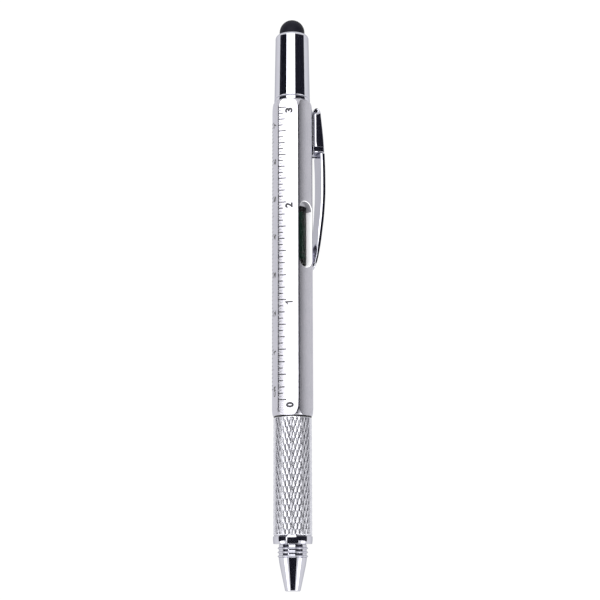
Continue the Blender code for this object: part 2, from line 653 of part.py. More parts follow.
def grip_sleeve(parent, finishes):
    """Sleeve with a crowned band, a knurled length and a journal inside the barrel."""
    seat = DRIVE_RADIUS + FIT_GAP
    top = GRIP_LENGTH + JOURNAL_LENGTH
    seat_floor = GRIP_LENGTH - TUBE_SEAT_DEPTH
    knurl_start = BAND_LENGTH + BAND_GROOVE_WIDTH
    crown = BAND_RADIUS - BAND_END_RADIUS
    band = arc((BAND_LENGTH / 2, BAND_END_RADIUS), (BAND_LENGTH / 2 - GRIP_EDGE, crown), 2, 0, CURVE_STEPS)
    seal = GRIP_LENGTH + SEAL_PLACE
    seal_floor = JOURNAL_RADIUS - SEAL_GROOVE_DEPTH
    ring = GRIP_LENGTH + RETAINER_PLACE - RUN_GAP
    ring_end = ring + RETAINER_LENGTH + 2 * RUN_GAP
    ring_floor = JOURNAL_RADIUS - RETAINER_DEPTH
    profile = [(0, NOSE_SPIGOT_RADIUS + RUN_GAP), (0, BAND_END_RADIUS - GRIP_EDGE)]
    profile += band
    profile += [(BAND_LENGTH, BAND_END_RADIUS - GRIP_EDGE), (BAND_LENGTH, BAND_GROOVE_RADIUS),
                (knurl_start, BAND_GROOVE_RADIUS), (knurl_start, KNURL_RADIUS - GRIP_EDGE),
                (knurl_start + GRIP_EDGE, KNURL_RADIUS), (GRIP_LENGTH - GRIP_EDGE, KNURL_RADIUS),
                (GRIP_LENGTH, KNURL_RADIUS - GRIP_EDGE), (GRIP_LENGTH, JOURNAL_RADIUS),
                (seal, JOURNAL_RADIUS), (seal, seal_floor), (seal + SEAL_GROOVE_WIDTH, seal_floor),
                (seal + SEAL_GROOVE_WIDTH, JOURNAL_RADIUS), (ring, JOURNAL_RADIUS), (ring, ring_floor),
                (ring_end, ring_floor), (ring_end, JOURNAL_RADIUS), (top, JOURNAL_RADIUS), (top, seat),
                (seat_floor, seat), (seat_floor, GRIP_CORE_RADIUS),
                (SOCKET_DEPTH, GRIP_CORE_RADIUS), (SOCKET_DEPTH, NOSE_SPIGOT_RADIUS + RUN_GAP)]
    add_object("grip", turned("grip", profile, ROUND_SIDES), finishes["chrome"], parent, GRIP_X)
    reach_out = (BORE_RADIUS - JOURNAL_RADIUS) * SEAL_REACH_SHARE
    cord = ring_profile(0, JOURNAL_RADIUS + reach_out - SEAL_CORD_RADIUS, SEAL_CORD_RADIUS)
    add_object("grip_seal_ring", turned("grip_seal_ring", cord), finishes["black_rubber"], parent,
               GRIP_X + seal + SEAL_GROOVE_WIDTH / 2)


def drive_tube(parent, finishes):
    """Tube pressed into the grip, with the straight slot that turns the pin."""
    start = GRIP_TOP_X - TUBE_SEAT_DEPTH + SEAT_GAP
    length = BARREL_X + CAM_START + CAM_LENGTH - DRIVE_WALL - start
    profile = tube_profile(length, DRIVE_RADIUS, DRIVE_BORE_RADIUS)
    item = add_object("drive_tube", turned("drive_tube", profile), finishes["steel"], parent, start)
    half = PIN_SLOT_WIDTH / 2
    slot = box("cut_drive_slot", (PIN_X - REFILL_TRAVEL - half, -half, DRIVE_BORE_RADIUS / 2),
               (PIN_X + half, half, DRIVE_RADIUS + CUT_OVERRUN))
    combine(item, add_object("cut_drive_slot", slot, None, parent, 0.0, PIN_ANGLE), "DIFFERENCE")


def refill(parent, finishes):
    bore = REFILL_RADIUS + CARRIER_FIT
    carrier = [(0, bore), (0, CARRIER_RADIUS), (CARRIER_LENGTH, CARRIER_RADIUS), (CARRIER_LENGTH, 0),
               (CARRIER_GRIP_LENGTH, 0), (CARRIER_GRIP_LENGTH, bore)]
    carrier_item = add_object("refill_carrier", turned("refill_carrier", carrier),
                              finishes["black_plastic"], parent, CARRIER_X)
    hole = PIN_RADIUS + CARRIER_FIT
    pin_low = bore + CARRIER_FIT
    pin_high = CAM_RADIUS - CARRIER_FIT
    cutter = turned("cut_pin_hole", [(0, 0), (0, hole), (CAM_RADIUS, hole), (CAM_RADIUS, 0)], SMALL_SIDES)
    pin = turned("follower_pin", [(pin_low, 0), (pin_low, PIN_RADIUS), (pin_high, PIN_RADIUS),
                                  (pin_high, 0)], SMALL_SIDES)
    upright = Matrix.Rotation(-math.pi / 2, 4, "Y")
    for mesh in (cutter, pin):
        mesh.transform(upright)
    combine(carrier_item, add_object("cut_pin_hole", cutter, None, parent, PIN_X, PIN_ANGLE), "DIFFERENCE")
    add_object("follower_pin", pin, finishes["steel"], parent, PIN_X, PIN_ANGLE)

    tube_x = REFILL_X + POINT_LENGTH
    tube_length = REFILL_LENGTH - POINT_LENGTH - CARRIER_FIT
    inner = REFILL_RADIUS - REFILL_WALL
    add_object("refill_tube", turned("refill_tube", tube_profile(tube_length, REFILL_RADIUS, inner)),
               finishes["steel"], parent, tube_x)

    shank = inner - BALL_SOCKET_GAP
    ball_x = BALL_RADIUS - BALL_SHOWING
    socket = BALL_RADIUS + BALL_SOCKET_GAP
    mouth = math.asin(ball_x / socket) / (math.pi / 2)
    cup = arc((ball_x, 0), (socket, socket), 1 + mouth, 0, CURVE_STEPS)
    cup[-1] = (ball_x + socket, 0)
    point = [(POINT_LENGTH + POINT_SHANK_LENGTH, 0), (POINT_LENGTH + POINT_SHANK_LENGTH, shank),
             (POINT_LENGTH - SEAT_GAP, shank), (POINT_LENGTH - SEAT_GAP, POINT_RADIUS),
             (POINT_CONE_LENGTH, POINT_RADIUS), (0, POINT_TIP_RADIUS)] + cup
    add_object("refill_point", turned("refill_point", point), finishes["brass"], parent, REFILL_X)

    bm = bmesh.new()
    bmesh.ops.create_uvsphere(bm, u_segments=SMALL_SIDES, v_segments=SMALL_SIDES // 2, radius=BALL_RADIUS)
    add_object("writing_ball", mesh_from(bm, "writing_ball"), finishes["tool_steel"], parent,
               REFILL_X + ball_x)

    core = inner - CARRIER_FIT
    ink_x = tube_x + POINT_SHANK_LENGTH + SEAT_GAP
    ink = turned("refill_ink", [(0, 0), (0, core), (INK_LENGTH, core), (INK_LENGTH, 0)], SMALL_SIDES)
    add_object("refill_ink", ink, finishes["ink"], parent, ink_x)


def nose_cone(parent, finishes):
    """Cone, shoulder, three turned rings and the spigot that screws into the grip."""
    rings = []
    ring_x = NOSE_CONE_LENGTH + NOSE_SHOULDER_LENGTH
    for index in range(NOSE_RING_COUNT):
        low = ring_x + index * NOSE_RING_PITCH
        rings += [(low, NOSE_GROOVE_RADIUS), (low, NOSE_RING_RADIUS),
                  (low + NOSE_RING_WIDTH, NOSE_RING_RADIUS), (low + NOSE_RING_WIDTH, NOSE_GROOVE_RADIUS)]
    rise = NOSE_SHOULDER_RADIUS - NOSE_CONE_RADIUS
    shoulder = arc((ring_x, NOSE_CONE_RADIUS), (NOSE_SHOULDER_LENGTH, rise), 2, 1, ARC_STEPS)
    back = NOSE_LENGTH + NOSE_SPIGOT_LENGTH
    profile = [(0, NOSE_HOLE_RADIUS), (0, NOSE_TIP_RADIUS - NOSE_TIP_EDGE), (NOSE_TIP_EDGE, NOSE_TIP_RADIUS)]
    profile += shoulder + rings
    profile += [(NOSE_LENGTH, NOSE_GROOVE_RADIUS), (NOSE_LENGTH, NOSE_SPIGOT_RADIUS),
                (back, NOSE_SPIGOT_RADIUS), (back, NOSE_BORE_RADIUS),
                (NOSE_HOLE_LENGTH, NOSE_BORE_RADIUS), (NOSE_HOLE_LENGTH, NOSE_HOLE_RADIUS)]
    add_object("nose_cone", turned("nose_cone", profile, ROUND_SIDES), finishes["chrome"], parent, NOSE_X)


def bit_holder(parent, finishes):
    """Holder pressed into the barrel: body, flange, neck with a seal groove, hexagonal socket."""
    body = BORE_RADIUS - FIT_GAP
    neck = FLANGE_LENGTH
    seal = neck + NECK_SEAL_PLACE
    floor = NECK_RADIUS - SEAL_GROOVE_DEPTH
    end = neck + NECK_LENGTH
    profile = [(-HOLDER_DEPTH, HOLDER_BORE_RADIUS), (-HOLDER_DEPTH, body), (0, body),
               (0, FLANGE_RADIUS), (neck, FLANGE_RADIUS), (neck, NECK_RADIUS), (seal, NECK_RADIUS),
               (seal, floor), (seal + SEAL_GROOVE_WIDTH, floor), (seal + SEAL_GROOVE_WIDTH, NECK_RADIUS),
               (end - NECK_EDGE, NECK_RADIUS), (end, NECK_RADIUS - NECK_EDGE), (end, HOLDER_BORE_RADIUS)]
    item = add_object("bit_holder", turned("bit_holder", profile, ROUND_SIDES), finishes["chrome"],
                      parent, FLANGE_X)
    socket = bar("cut_socket", hexagon(SOCKET_FLAT_WIDTH / 2), SOCKET_HEX_DEPTH + CUT_OVERRUN,
                 end - SOCKET_HEX_DEPTH)
    combine(item, add_object("cut_socket", socket, None, parent, FLANGE_X), "DIFFERENCE")
    reach_out = (CAP_BORE_RADIUS - NECK_RADIUS) * SEAL_REACH_SHARE
    cord = ring_profile(0, NECK_RADIUS + reach_out - SEAL_CORD_RADIUS, SEAL_CORD_RADIUS)
    add_object("cap_seal_ring", turned("cap_seal_ring", cord), finishes["black_rubber"], parent,
               FLANGE_X + seal + SEAL_GROOVE_WIDTH / 2)


def screwdriver_bit(parent, finishes):
    """Hexagonal middle, flat blade below, cross point above; all sections share their directions."""
    directions = [math.tau * step / BIT_SIDES for step in range(BIT_SIDES)]
    apothem = BIT_FLAT_WIDTH / 2

    def oval(half_width, half_thickness):
        return [(half_width * math.sin(angle), half_thickness * math.cos(angle)) for angle in directions]

    def six(size):
        points = []
        for angle in directions:
            radius = size / math.cos((angle + FACE_STEP / 2) % FACE_STEP - FACE_STEP / 2)
            points.append((radius * math.sin(angle), radius * math.cos(angle)))
        return points

    def cross(size, depth):
        points = []
        for angle in directions:
            radius = size * (1 - depth * math.sin(2 * angle) ** 2)
            points.append((radius * math.sin(angle), radius * math.cos(angle)))
        return points

    shank = BIT_SHANK_RADIUS
    top = BIT_END_LENGTH + BIT_HEX_LENGTH
    blade_end, shank_start = (BIT_END_LENGTH * share for share in BIT_BLADE_SHARES)
    flute_start, flute_full = (top + BIT_END_LENGTH * share for share in BIT_FLUTE_SHARES)
    sections = [(0, oval(shank, BIT_BLADE_THICKNESS / 2)),
                (blade_end, oval(shank, BIT_BLADE_THICKNESS / 2)), (shank_start, oval(shank, shank)),
                (BIT_END_LENGTH - BIT_LIFT, oval(shank, shank)), (BIT_END_LENGTH, six(apothem)),
                (top, six(apothem)), (top + BIT_LIFT, oval(shank, shank)),
                (flute_start, cross(shank, 0)),
                (flute_full, cross(shank * BIT_POINT_SHARE, BIT_FLUTE_DEPTH_SHARE)),
                (top + BIT_END_LENGTH, cross(BIT_CROSS_RADIUS, BIT_FLUTE_DEPTH_SHARE))]
    rings = [[(x, y, z) for y, z in outline] for x, outline in sections]
    start = FLANGE_TOP_X + BIT_REACH - 2 * BIT_END_LENGTH - BIT_HEX_LENGTH
    add_object("screwdriver_bit", lofted("screwdriver_bit", rings), finishes["tool_steel"], parent, start)


def cap_and_stylus(parent, finishes):
    lip_radius = DOME_RADIUS + RUN_GAP
    foot = CAP_FOOT_RADIUS - CAP_FOOT_CHAMFER
    centre = (CAP_LENGTH - CAP_SHOULDER, CAP_TOP_RADIUS - CAP_SHOULDER)
    shoulder = arc(centre, (CAP_SHOULDER, CAP_SHOULDER), 1, 0, CURVE_STEPS)
    lip_x = CAP_LENGTH - CAP_LIP
    profile = [(0, CAP_BORE_RADIUS), (0, foot), (CAP_FOOT_CHAMFER, CAP_FOOT_RADIUS)] + shoulder[:-1]
    profile += [(CAP_LENGTH, max(centre[1], lip_radius + RUN_GAP)), (CAP_LENGTH, lip_radius),
                (lip_x, lip_radius), (lip_x, CAP_BORE_RADIUS)]
    add_object("cap", turned("cap", profile, ROUND_SIDES), finishes["chrome"], parent, CAP_X)

    rim_radius = CAP_BORE_RADIUS - FIT_GAP
    rim = CAP_X + lip_x - SEAT_GAP - DOME_RIM_THICKNESS
    centre_x = CAP_TOP_X + DOME_NECK - rim
    inner = DOME_RADIUS - DOME_WALL
    outside = arc((centre_x, 0), (DOME_RADIUS, DOME_RADIUS), 1, 0, CURVE_STEPS)
    inside = arc((centre_x, 0), (inner, inner), 0, 1, CURVE_STEPS)
    outside[-1] = (centre_x + DOME_RADIUS, 0)
    inside[0] = (centre_x + inner, 0)
    dome = inside + [(0, inner), (0, rim_radius), (DOME_RIM_THICKNESS, rim_radius),
                     (DOME_RIM_THICKNESS, DOME_RADIUS)] + outside
    add_object("stylus_dome", turned("stylus_dome", dome, ROUND_SIDES), finishes["black_rubber"], parent, rim)

    spigot = inner - FIT_GAP
    insert = [(0, 0), (0, rim_radius), (INSERT_DISC, rim_radius), (INSERT_DISC, spigot),
              (INSERT_DISC + INSERT_SPIGOT_LENGTH, spigot), (INSERT_DISC + INSERT_SPIGOT_LENGTH, 0)]
    add_object("stylus_insert", turned("stylus_insert", insert), finishes["brass"], parent,
               rim - SEAT_GAP - INSERT_DISC)


def build():
    clear_scene()
    finishes = make_finishes()
    roll, side_shift, height = resting_place()
    pen = empty("pen_axis", None, (0, side_shift, height), roll)
    twist = empty("grip_axis", pen)
    refill_line = empty("refill_axis", twist)
    nose_line = empty("nose_axis", twist)
    cap_line = empty("cap_axis", pen)
    hex_barrel(pen, finishes)
    clip_head(pen, finishes)
    clip_arm(pen, finishes)
    level_vial(pen, finishes)
    twist_cam(pen, finishes)
    retaining_ring(pen, finishes)
    bit_holder(pen, finishes)
    screwdriver_bit(pen, finishes)
    grip_sleeve(twist, finishes)
    drive_tube(twist, finishes)
    refill(refill_line, finishes)
    nose_cone(nose_line, finishes)
    cap_and_stylus(cap_line, finishes)


build()
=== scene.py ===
import json
import math

import bmesh
import bpy
import numpy as np
from mathutils import Matrix, Vector


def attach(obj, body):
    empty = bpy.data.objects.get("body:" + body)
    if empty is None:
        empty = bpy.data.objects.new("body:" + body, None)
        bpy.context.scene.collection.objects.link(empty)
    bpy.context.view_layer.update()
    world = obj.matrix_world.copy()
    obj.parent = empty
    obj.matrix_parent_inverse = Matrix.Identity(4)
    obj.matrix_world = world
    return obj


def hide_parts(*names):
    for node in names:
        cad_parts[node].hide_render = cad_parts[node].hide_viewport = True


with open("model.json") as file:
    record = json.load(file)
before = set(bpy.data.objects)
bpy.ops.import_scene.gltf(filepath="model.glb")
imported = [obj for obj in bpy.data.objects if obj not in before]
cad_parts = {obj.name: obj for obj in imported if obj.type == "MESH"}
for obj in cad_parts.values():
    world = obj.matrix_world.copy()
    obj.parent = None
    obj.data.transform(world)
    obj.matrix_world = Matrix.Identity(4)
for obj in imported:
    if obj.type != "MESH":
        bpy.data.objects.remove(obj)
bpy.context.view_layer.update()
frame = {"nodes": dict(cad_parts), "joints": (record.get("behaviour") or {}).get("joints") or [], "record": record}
print("frame loaded:", len(frame["nodes"]), "nodes")

# All sizes are in metres. The twist joint lies on the pen's axis, and the inch face's
# mount looks along that face's normal, which gives the roll about X
named = {row["name"]: row for row in [*frame["joints"], *frame["record"]["mounts"]]}
axisY, axisZ = named["grip_twist"]["pos_m"][1:]
inchNormal = named["inch_scale_face"]["axis"]
roll = math.atan2(-inchNormal[1], inchNormal[2])
faceStep = math.radians(60)
inchFace, windowFace, clipFace, farWindowFace, centimetreFace = 0.0, faceStep, 2 * faceStep, 4 * faceStep, -faceStep
mergeDistance = 2e-7
overrun = 0.001  # how far a cutter reaches past what it cuts


class pieceSizes(dict):
    # the dictionary of one piece; its values are also read by name, as in barrelShape.length
    __getattr__ = dict.__getitem__


def toRow(points):
    # pen frame to row frame: a turn about X by the roll, then a move to the axis
    x, y, z = points[..., 0], points[..., 1], points[..., 2]
    c, s = math.cos(roll), math.sin(roll)
    return np.stack([x, axisY + c * y - s * z, axisZ + s * y + c * z], axis=-1)


def roundPen(x, angle, radius):
    # a point on a circle round the pen; angle zero is the inch face's normal
    x, angle, radius = np.broadcast_arrays(x, angle, radius)
    return toRow(np.stack([x, -radius * np.sin(angle), radius * np.cos(angle)], axis=-1))


def overFace(x, across, height, face):
    # a point over a flat: along the pen, across the flat, and above the pen's axis along the flat's normal
    x, across, height = np.broadcast_arrays(x, across, height)
    c, s = math.cos(face), math.sin(face)
    return toRow(np.stack([x, -s * height - c * across, c * height - s * across], axis=-1))


def gridPart(points, closeRows=False, closeColumns=False, capEnds=False):
    # quads between neighbouring rows and columns, with a flat cap on the first and last row if wanted
    rows, columns = points.shape[:2]
    i = np.arange(rows if closeRows else rows - 1)[:, None]
    j = np.arange(columns if closeColumns else columns - 1)[None, :]
    nextI, nextJ = (i + 1) % rows, (j + 1) % columns
    corners = [i * columns + j, i * columns + nextJ, nextI * columns + nextJ, nextI * columns + j]
    faces = np.stack(np.broadcast_arrays(*corners), axis=-1).reshape(-1, 4).tolist()
    if capEnds:
        faces += [list(range(columns)), list(range((rows - 1) * columns, rows * columns))]
    return points.reshape(-1, 3), faces


def loftPart(points):
    # each row is a closed outline, and the first and last are capped
    return gridPart(points, closeColumns=True, capEnds=True)


def cleanMesh(mesh, sharp=None, outward=True):
    # merges doubles, turns all faces outwards, and shades smooth up to the sharp angle
    bm = bmesh.new()
    bm.from_mesh(mesh)
    bmesh.ops.remove_doubles(bm, verts=bm.verts, dist=mergeDistance)
    if outward:
        bmesh.ops.recalc_face_normals(bm, faces=bm.faces)
    bm.to_mesh(mesh)
    bm.free()
    if sharp:
        mesh.shade_smooth()
        mesh.set_sharp_from_angle(angle=math.radians(sharp))


def linkObject(name, data):
    item = bpy.data.objects.new(name, data)
    bpy.context.scene.collection.objects.link(item)
    return item


def evaluatedMesh(item):
    bpy.context.view_layer.update()
    return bpy.data.meshes.new_from_object(item.evaluated_get(bpy.context.evaluated_depsgraph_get()))


def readRows(items, name):
    # a vector of each vertex or face, one to a row
    values = np.empty(3 * len(items))
    items.foreach_get(name, values)
    return values.reshape(-1, 3)


def makeItem(name, parts, finish, sharp=35):
    # joins the parts into one mesh with one finish
    points, faces, offset = [], [], 0
    for partPoints, partFaces in parts:
        points.append(partPoints)
        faces += [[offset + index for index in face] for face in partFaces]
        offset += len(partPoints)
    mesh = bpy.data.meshes.new(name)
    mesh.from_pydata(np.vstack(points).tolist(), [], faces)
    cleanMesh(mesh, sharp)
    mesh.materials.append(finishes[finish])
    return linkObject(name, mesh)


def roundCorners(profile, cut, steps=4):
    # each inner corner becomes a parabola between two points a cut away on its sides; the ends stay
    profile = np.asarray(profile, float)
    before, corner, after = profile[:-2], profile[1:-1], profile[2:]
    toBefore, toAfter = before - corner, after - corner
    lengthBefore = np.linalg.norm(toBefore, axis=1, keepdims=True)
    lengthAfter = np.linalg.norm(toAfter, axis=1, keepdims=True)
    reach = np.minimum(cut, 0.4 * np.minimum(lengthBefore, lengthAfter))  # at most two fifths of the shorter side
    start, end = corner + toBefore / lengthBefore * reach, corner + toAfter / lengthAfter * reach
    t = np.linspace(0, 1, steps + 1)[None, :, None]
    curve = (1 - t) ** 2 * start[:, None] + 2 * t * (1 - t) * corner[:, None] + t * t * end[:, None]
    return np.vstack([profile[:1], curve.reshape(-1, 2), profile[-1:]])


def closedCorners(profile, cut, steps=4):
    # the same for a ring-shaped profile: it starts and ends in the middle of its last side
    profile = np.asarray(profile, float)
    seam = (profile[:1] + profile[-1:]) / 2
    return roundCorners(np.vstack([seam, profile, seam]), cut, steps)[:-1]


def turnedPart(profile, sides=128, closed=True):
    # a profile of (x, radius) carried once round the pen's axis
    angle = np.linspace(0, math.tau, sides, endpoint=False)[None, :]
    points = roundPen(profile[:, :1], angle, profile[:, 1:])
    return gridPart(points, closeRows=closed, closeColumns=True)


def turnedItem(name, profile, finish, sides=128, cut=0.0, steps=4, ring=True, sharp=35):
    # a turned piece: its profile is a ring, or else it starts and ends on the axis; the cut eases its corners
    if cut:
        profile = (closedCorners if ring else roundCorners)(profile, cut, steps)
    return makeItem(name, [turnedPart(profile, sides, ring)], finish, sharp)


def stairs(*turns):
    # a stepped profile from x, radius, next x, next radius and so on; a step that goes nowhere is left out
    points = np.stack([np.repeat(turns[::2], 2)[1:], np.repeat(turns[1::2], 2)[:-1]], axis=-1)
    return points[np.append(True, np.diff(points, axis=0).any(axis=1))]


def rectangle(low, high, inner, outer):
    # a profile from one x to another and from one radius to another
    return stairs(low, inner, low, outer, high, inner)


def arcPoints(centreX, centreRadius, radiusX, radiusOut, start, end, steps):
    # an elliptic arc of (x, radius); angles are in degrees from +X outwards
    angle = np.radians(np.linspace(start, end, steps + 1))
    return np.stack([centreX + radiusX * np.cos(angle), centreRadius + radiusOut * np.sin(angle)], axis=-1)


def smoothStep(t):
    # from 0 to 1 with level ends: 3 t^2 - 2 t^3
    return t * t * (3 - 2 * t)


def cubicRise(t, rise, slopeStart, slopeEnd):
    # a cubic from 0 to the rise as t goes from 0 to 1, with a slope at each end
    return t * (slopeStart + t * ((3 * rise - 2 * slopeStart - slopeEnd) + t * (slopeStart + slopeEnd - 2 * rise)))


def cutItem(item, *cutters, limit=None, sharp=35):
    # keeps what lies in the limit, less the cutters, whose material goes to the faces that they cut; all of
    # them go once the result is the item's own mesh
    helpers = [limit, *cutters] if limit else cutters
    for helper in helpers:
        change = item.modifiers.new(helper.name, "BOOLEAN")
        change.operation = "INTERSECT" if helper is limit else "DIFFERENCE"
        change.solver, change.object, change.material_mode = "EXACT", helper, "TRANSFER"
    item.data = evaluatedMesh(item)
    item.modifiers.clear()
    for helper in helpers:
        bpy.data.objects.remove(helper)
    cleanMesh(item.data, sharp, outward=False)


def easeEdges(item, width=0.0, angle=30):
    # a narrow bevel that catches the light, and normals that follow the large faces
    if width:
        bevel = item.modifiers.new("edges", "BEVEL")
        bevel.width, bevel.segments, bevel.limit_method = width, 2, "ANGLE"
        bevel.angle_limit = math.radians(angle)
    normals = item.modifiers.new("normals", "WEIGHTED_NORMAL")
    normals.keep_sharp = True
    return item


def place(item, body, slotName, *nodes):
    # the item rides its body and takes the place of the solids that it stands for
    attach(item, body)
    if nodes:
        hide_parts(*nodes)


def setSockets(node, **values):
    # a socket's name has _ for each space
    for socket, value in values.items():
        node.inputs[socket.replace("_", " ")].default_value = value
    return node


def addNode(tree, kind, **values):
    return setSockets(tree.nodes.new("ShaderNode" + kind), **values)


def wire(node, output, target, socket):
    # from an output of one node to a socket of another
    node.id_data.links.new(node.outputs[output], target.inputs[socket])


def grain(tree, stretch, detail=3.0, low=0.0, high=1.0):
    # noise on object coordinates, with one scale along the pen and one across it; its middle range, from 0.3
    # to 0.7, is mapped between two values
    along, across = stretch
    mapping = addNode(tree, "Mapping", Scale=(along, across, across))
    noise = addNode(tree, "TexNoise", Scale=1.0, Detail=detail)
    span = addNode(tree, "MapRange", From_Min=0.3, From_Max=0.7, To_Min=low, To_Max=high)
    wire(addNode(tree, "TexCoord"), "Object", mapping, "Vector")
    wire(mapping, "Vector", noise, "Vector")
    wire(noise, "Fac", span, "Value")
    return span


def newFinish(name, shades=None, mottle=None, roughness=None, stretch=None, bumpHeight=0.0, detail=2.0, **sockets):
    # colour drifts between two shades; a stretched grain drives roughness between two values and a shallow relief
    material = bpy.data.materials.new(name)
    material.use_nodes = True
    tree = material.node_tree
    shader = setSockets(tree.nodes["Principled BSDF"], **sockets)
    if shades:
        mix = addNode(tree, "Mix")
        mix.data_type = "RGBA"
        for socket, shade in zip("AB", shades):
            mix.inputs[socket].default_value = (*shade, 1)
        wire(grain(tree, mottle), "Result", mix, "Factor")
        wire(mix, "Result", shader, "Base Color")
    if roughness:
        wire(grain(tree, stretch, detail, *roughness), "Result", shader, "Roughness")
    if bumpHeight:
        bump = addNode(tree, "Bump", Distance=bumpHeight)
        wire(grain(tree, stretch, detail), "Result", bump, "Height")
        wire(bump, "Normal", shader, "Normal")
    return material


def metal(name, first, second, roughness, stretch, bumpHeight=0.0, edge=(0.6, 0.6, 0.63), mottle=(260, 260), shine=1.0):
    # a finish whose rim has its own tint; shine 0 is for the dull faces of a cut
    return newFinish(name, (first, second), mottle, roughness, stretch, bumpHeight,
                     Metallic=shine, Specular_Tint=(*edge, 1))


finishes = {
    "satin": metal("satin aluminium", (0.505, 0.50, 0.55), (0.54, 0.53, 0.58), (0.18, 0.23), (60, 9000), 3e-7,
                   edge=(0.86, 0.86, 0.90)),
    "machined": metal("machined aluminium", (0.95, 0.95, 0.97), (0.98, 0.98, 0.99), (0.55, 0.65), (7000, 2500), 1.2e-6,
                      edge=(0.9, 0.9, 0.9), shine=0.0),
    # painted shade: dark grey aluminium that stands for the shade in the window's end towards the cap
    "shaded": metal("shaded aluminium", (0.18, 0.18, 0.20), (0.38, 0.38, 0.41), (0.55, 0.65), (7000, 2500), 1.2e-6,
                    edge=(0.9, 0.9, 0.9), mottle=(700, 700), shine=0.0),
    "chrome": metal("bright chrome", (0.575, 0.575, 0.635), (0.605, 0.605, 0.665), (0.035, 0.06), (300, 300)),
    "knurl": metal("knurled chrome", (0.68, 0.68, 0.735), (0.74, 0.74, 0.79), (0.24, 0.32), (1500, 1500), 1.5e-6),
    "steel": metal("drawn steel", (0.44, 0.44, 0.46), (0.52, 0.52, 0.54), (0.24, 0.34), (80, 6000), 6e-7),
    "toolSteel": metal("dark tool steel", (0.15, 0.15, 0.165), (0.22, 0.22, 0.235), (0.30, 0.42), (2200, 2200), 1.5e-6),
    "brass": metal("turned brass", (0.72, 0.52, 0.23), (0.80, 0.60, 0.30), (0.20, 0.32), (9000, 700), 8e-7),
    "rubber": newFinish("black rubber", ((0.006, 0.006, 0.010), (0.010, 0.010, 0.016)), (500, 500), None, (6000, 6000),
                        1.5e-6, detail=3.0, Roughness=0.50, Specular_IOR_Level=0.07),
    "plastic": newFinish("black plastic", ((0.005, 0.005, 0.0055), (0.009, 0.009, 0.0095)), (700, 700), (0.30, 0.42),
                         (3000, 3000), Specular_IOR_Level=0.2),
    "clear": newFinish("clear acrylic", roughness=(0.01, 0.035), stretch=(900, 900), Base_Color=(0.95, 0.98, 0.96, 1),
                       Transmission_Weight=1.0, IOR=1.15, Specular_IOR_Level=0.05),
    "fluid": newFinish("green fluid", ((0.009, 0.021, 0.016), (0.013, 0.029, 0.022)), (220, 500), Roughness=0.12,
                       Specular_IOR_Level=0.03),
    # painted highlight: a lighter green for the bubble's faces, which stands for the light seen round the bubble
    "bubble": newFinish("bubble painted highlight", ((0.10, 0.15, 0.13), (0.15, 0.21, 0.19)), (220, 500), Roughness=0.12,
                        Specular_IOR_Level=0.03),
    "ink": newFinish("blue ink", ((0.01, 0.02, 0.18), (0.015, 0.03, 0.26)), (900, 900), Roughness=0.25),
    "print": newFinish("scale print", ((0.010, 0.010, 0.014), (0.03, 0.03, 0.035)), (5000, 5000), Roughness=0.45),
    "finePrint": newFinish("fine scale print", ((0.16, 0.16, 0.18), (0.30, 0.30, 0.32)), (5000, 5000), Roughness=0.45),
    "card": newFinish("dark card", ((0.009, 0.009, 0.014), (0.018, 0.018, 0.026)), (4, 4), Roughness=1.0,
                      Specular_IOR_Level=0.0),
    "floor": newFinish("pale floor", ((0.90, 0.90, 0.90), (0.93, 0.93, 0.93)), (3, 3), Roughness=0.9,
                       Specular_IOR_Level=0.0),
}
print("finishes made:", len(finishes))


barrelShape = pieceSizes(
    start=-0.031225, length=0.0823, apothem=0.00475, crown=0.00006, corner=0.0006,
    bore=0.0036, boreChamfer=0.0001, groovePlace=0.0043, grooveLength=0.0008, grooveRadius=0.00395,
    turnedRadius=0.0048, turnedLength=0.0022, turnedSpare=0.0001,
    windowStart=0.0379, windowLength=0.0171, windowWidth=0.0046, windowChamfer=0.0002, chamferMiddle=(0.5, 0.35),
    wallLimit=0.1,
    lugSlotStart=0.0688, lugSlotLength=0.0034, lugSlotWidth=0.0024)


def hexOutline(shape, flatSteps=16, arcSteps=7, rounds=40):
    # six crowned flats, height = apothem - crown * (across / half)^2, joined by tangent arcs; the flat's half
    # width is found in rounds that bring the arc's centre half the way to the line between two flats
    apothem, radius = shape.apothem, shape.corner
    slope = math.tan(faceStep / 2)
    half = apothem * slope - radius / 2
    for _ in range(rounds):
        bend = shape.crown / half ** 2
        tilt = math.atan(2 * bend * half)
        half += 0.5 * (slope * (apothem - bend * half ** 2 - radius * math.cos(tilt)) + radius * math.sin(tilt) - half)
    flat = np.linspace(-half, half, flatSteps)
    height = apothem - bend * flat ** 2
    centre = (half - radius * math.sin(tilt), apothem - bend * half ** 2 - radius * math.cos(tilt))
    turn = np.linspace(tilt, faceStep - tilt, arcSteps + 2)[1:-1]
    w = np.hstack([flat, centre[0] + radius * np.sin(turn)])
    h = np.hstack([height, centre[1] + radius * np.cos(turn)])
    turns = faceStep * np.arange(6)[:, None]
    return (np.arctan2(w, h)[None] + turns).ravel(), np.tile(np.hypot(w, h), 6), half, bend


def stadium(length, width, growth, steps=28):
    # outline of a slot with round ends: two half circles a length apart
    radius = width / 2 + growth
    x, across = arcPoints((length - width) / 2, 0, radius, radius, -90, 90, steps).T
    return np.hstack([x, -x]), np.hstack([across, -across])


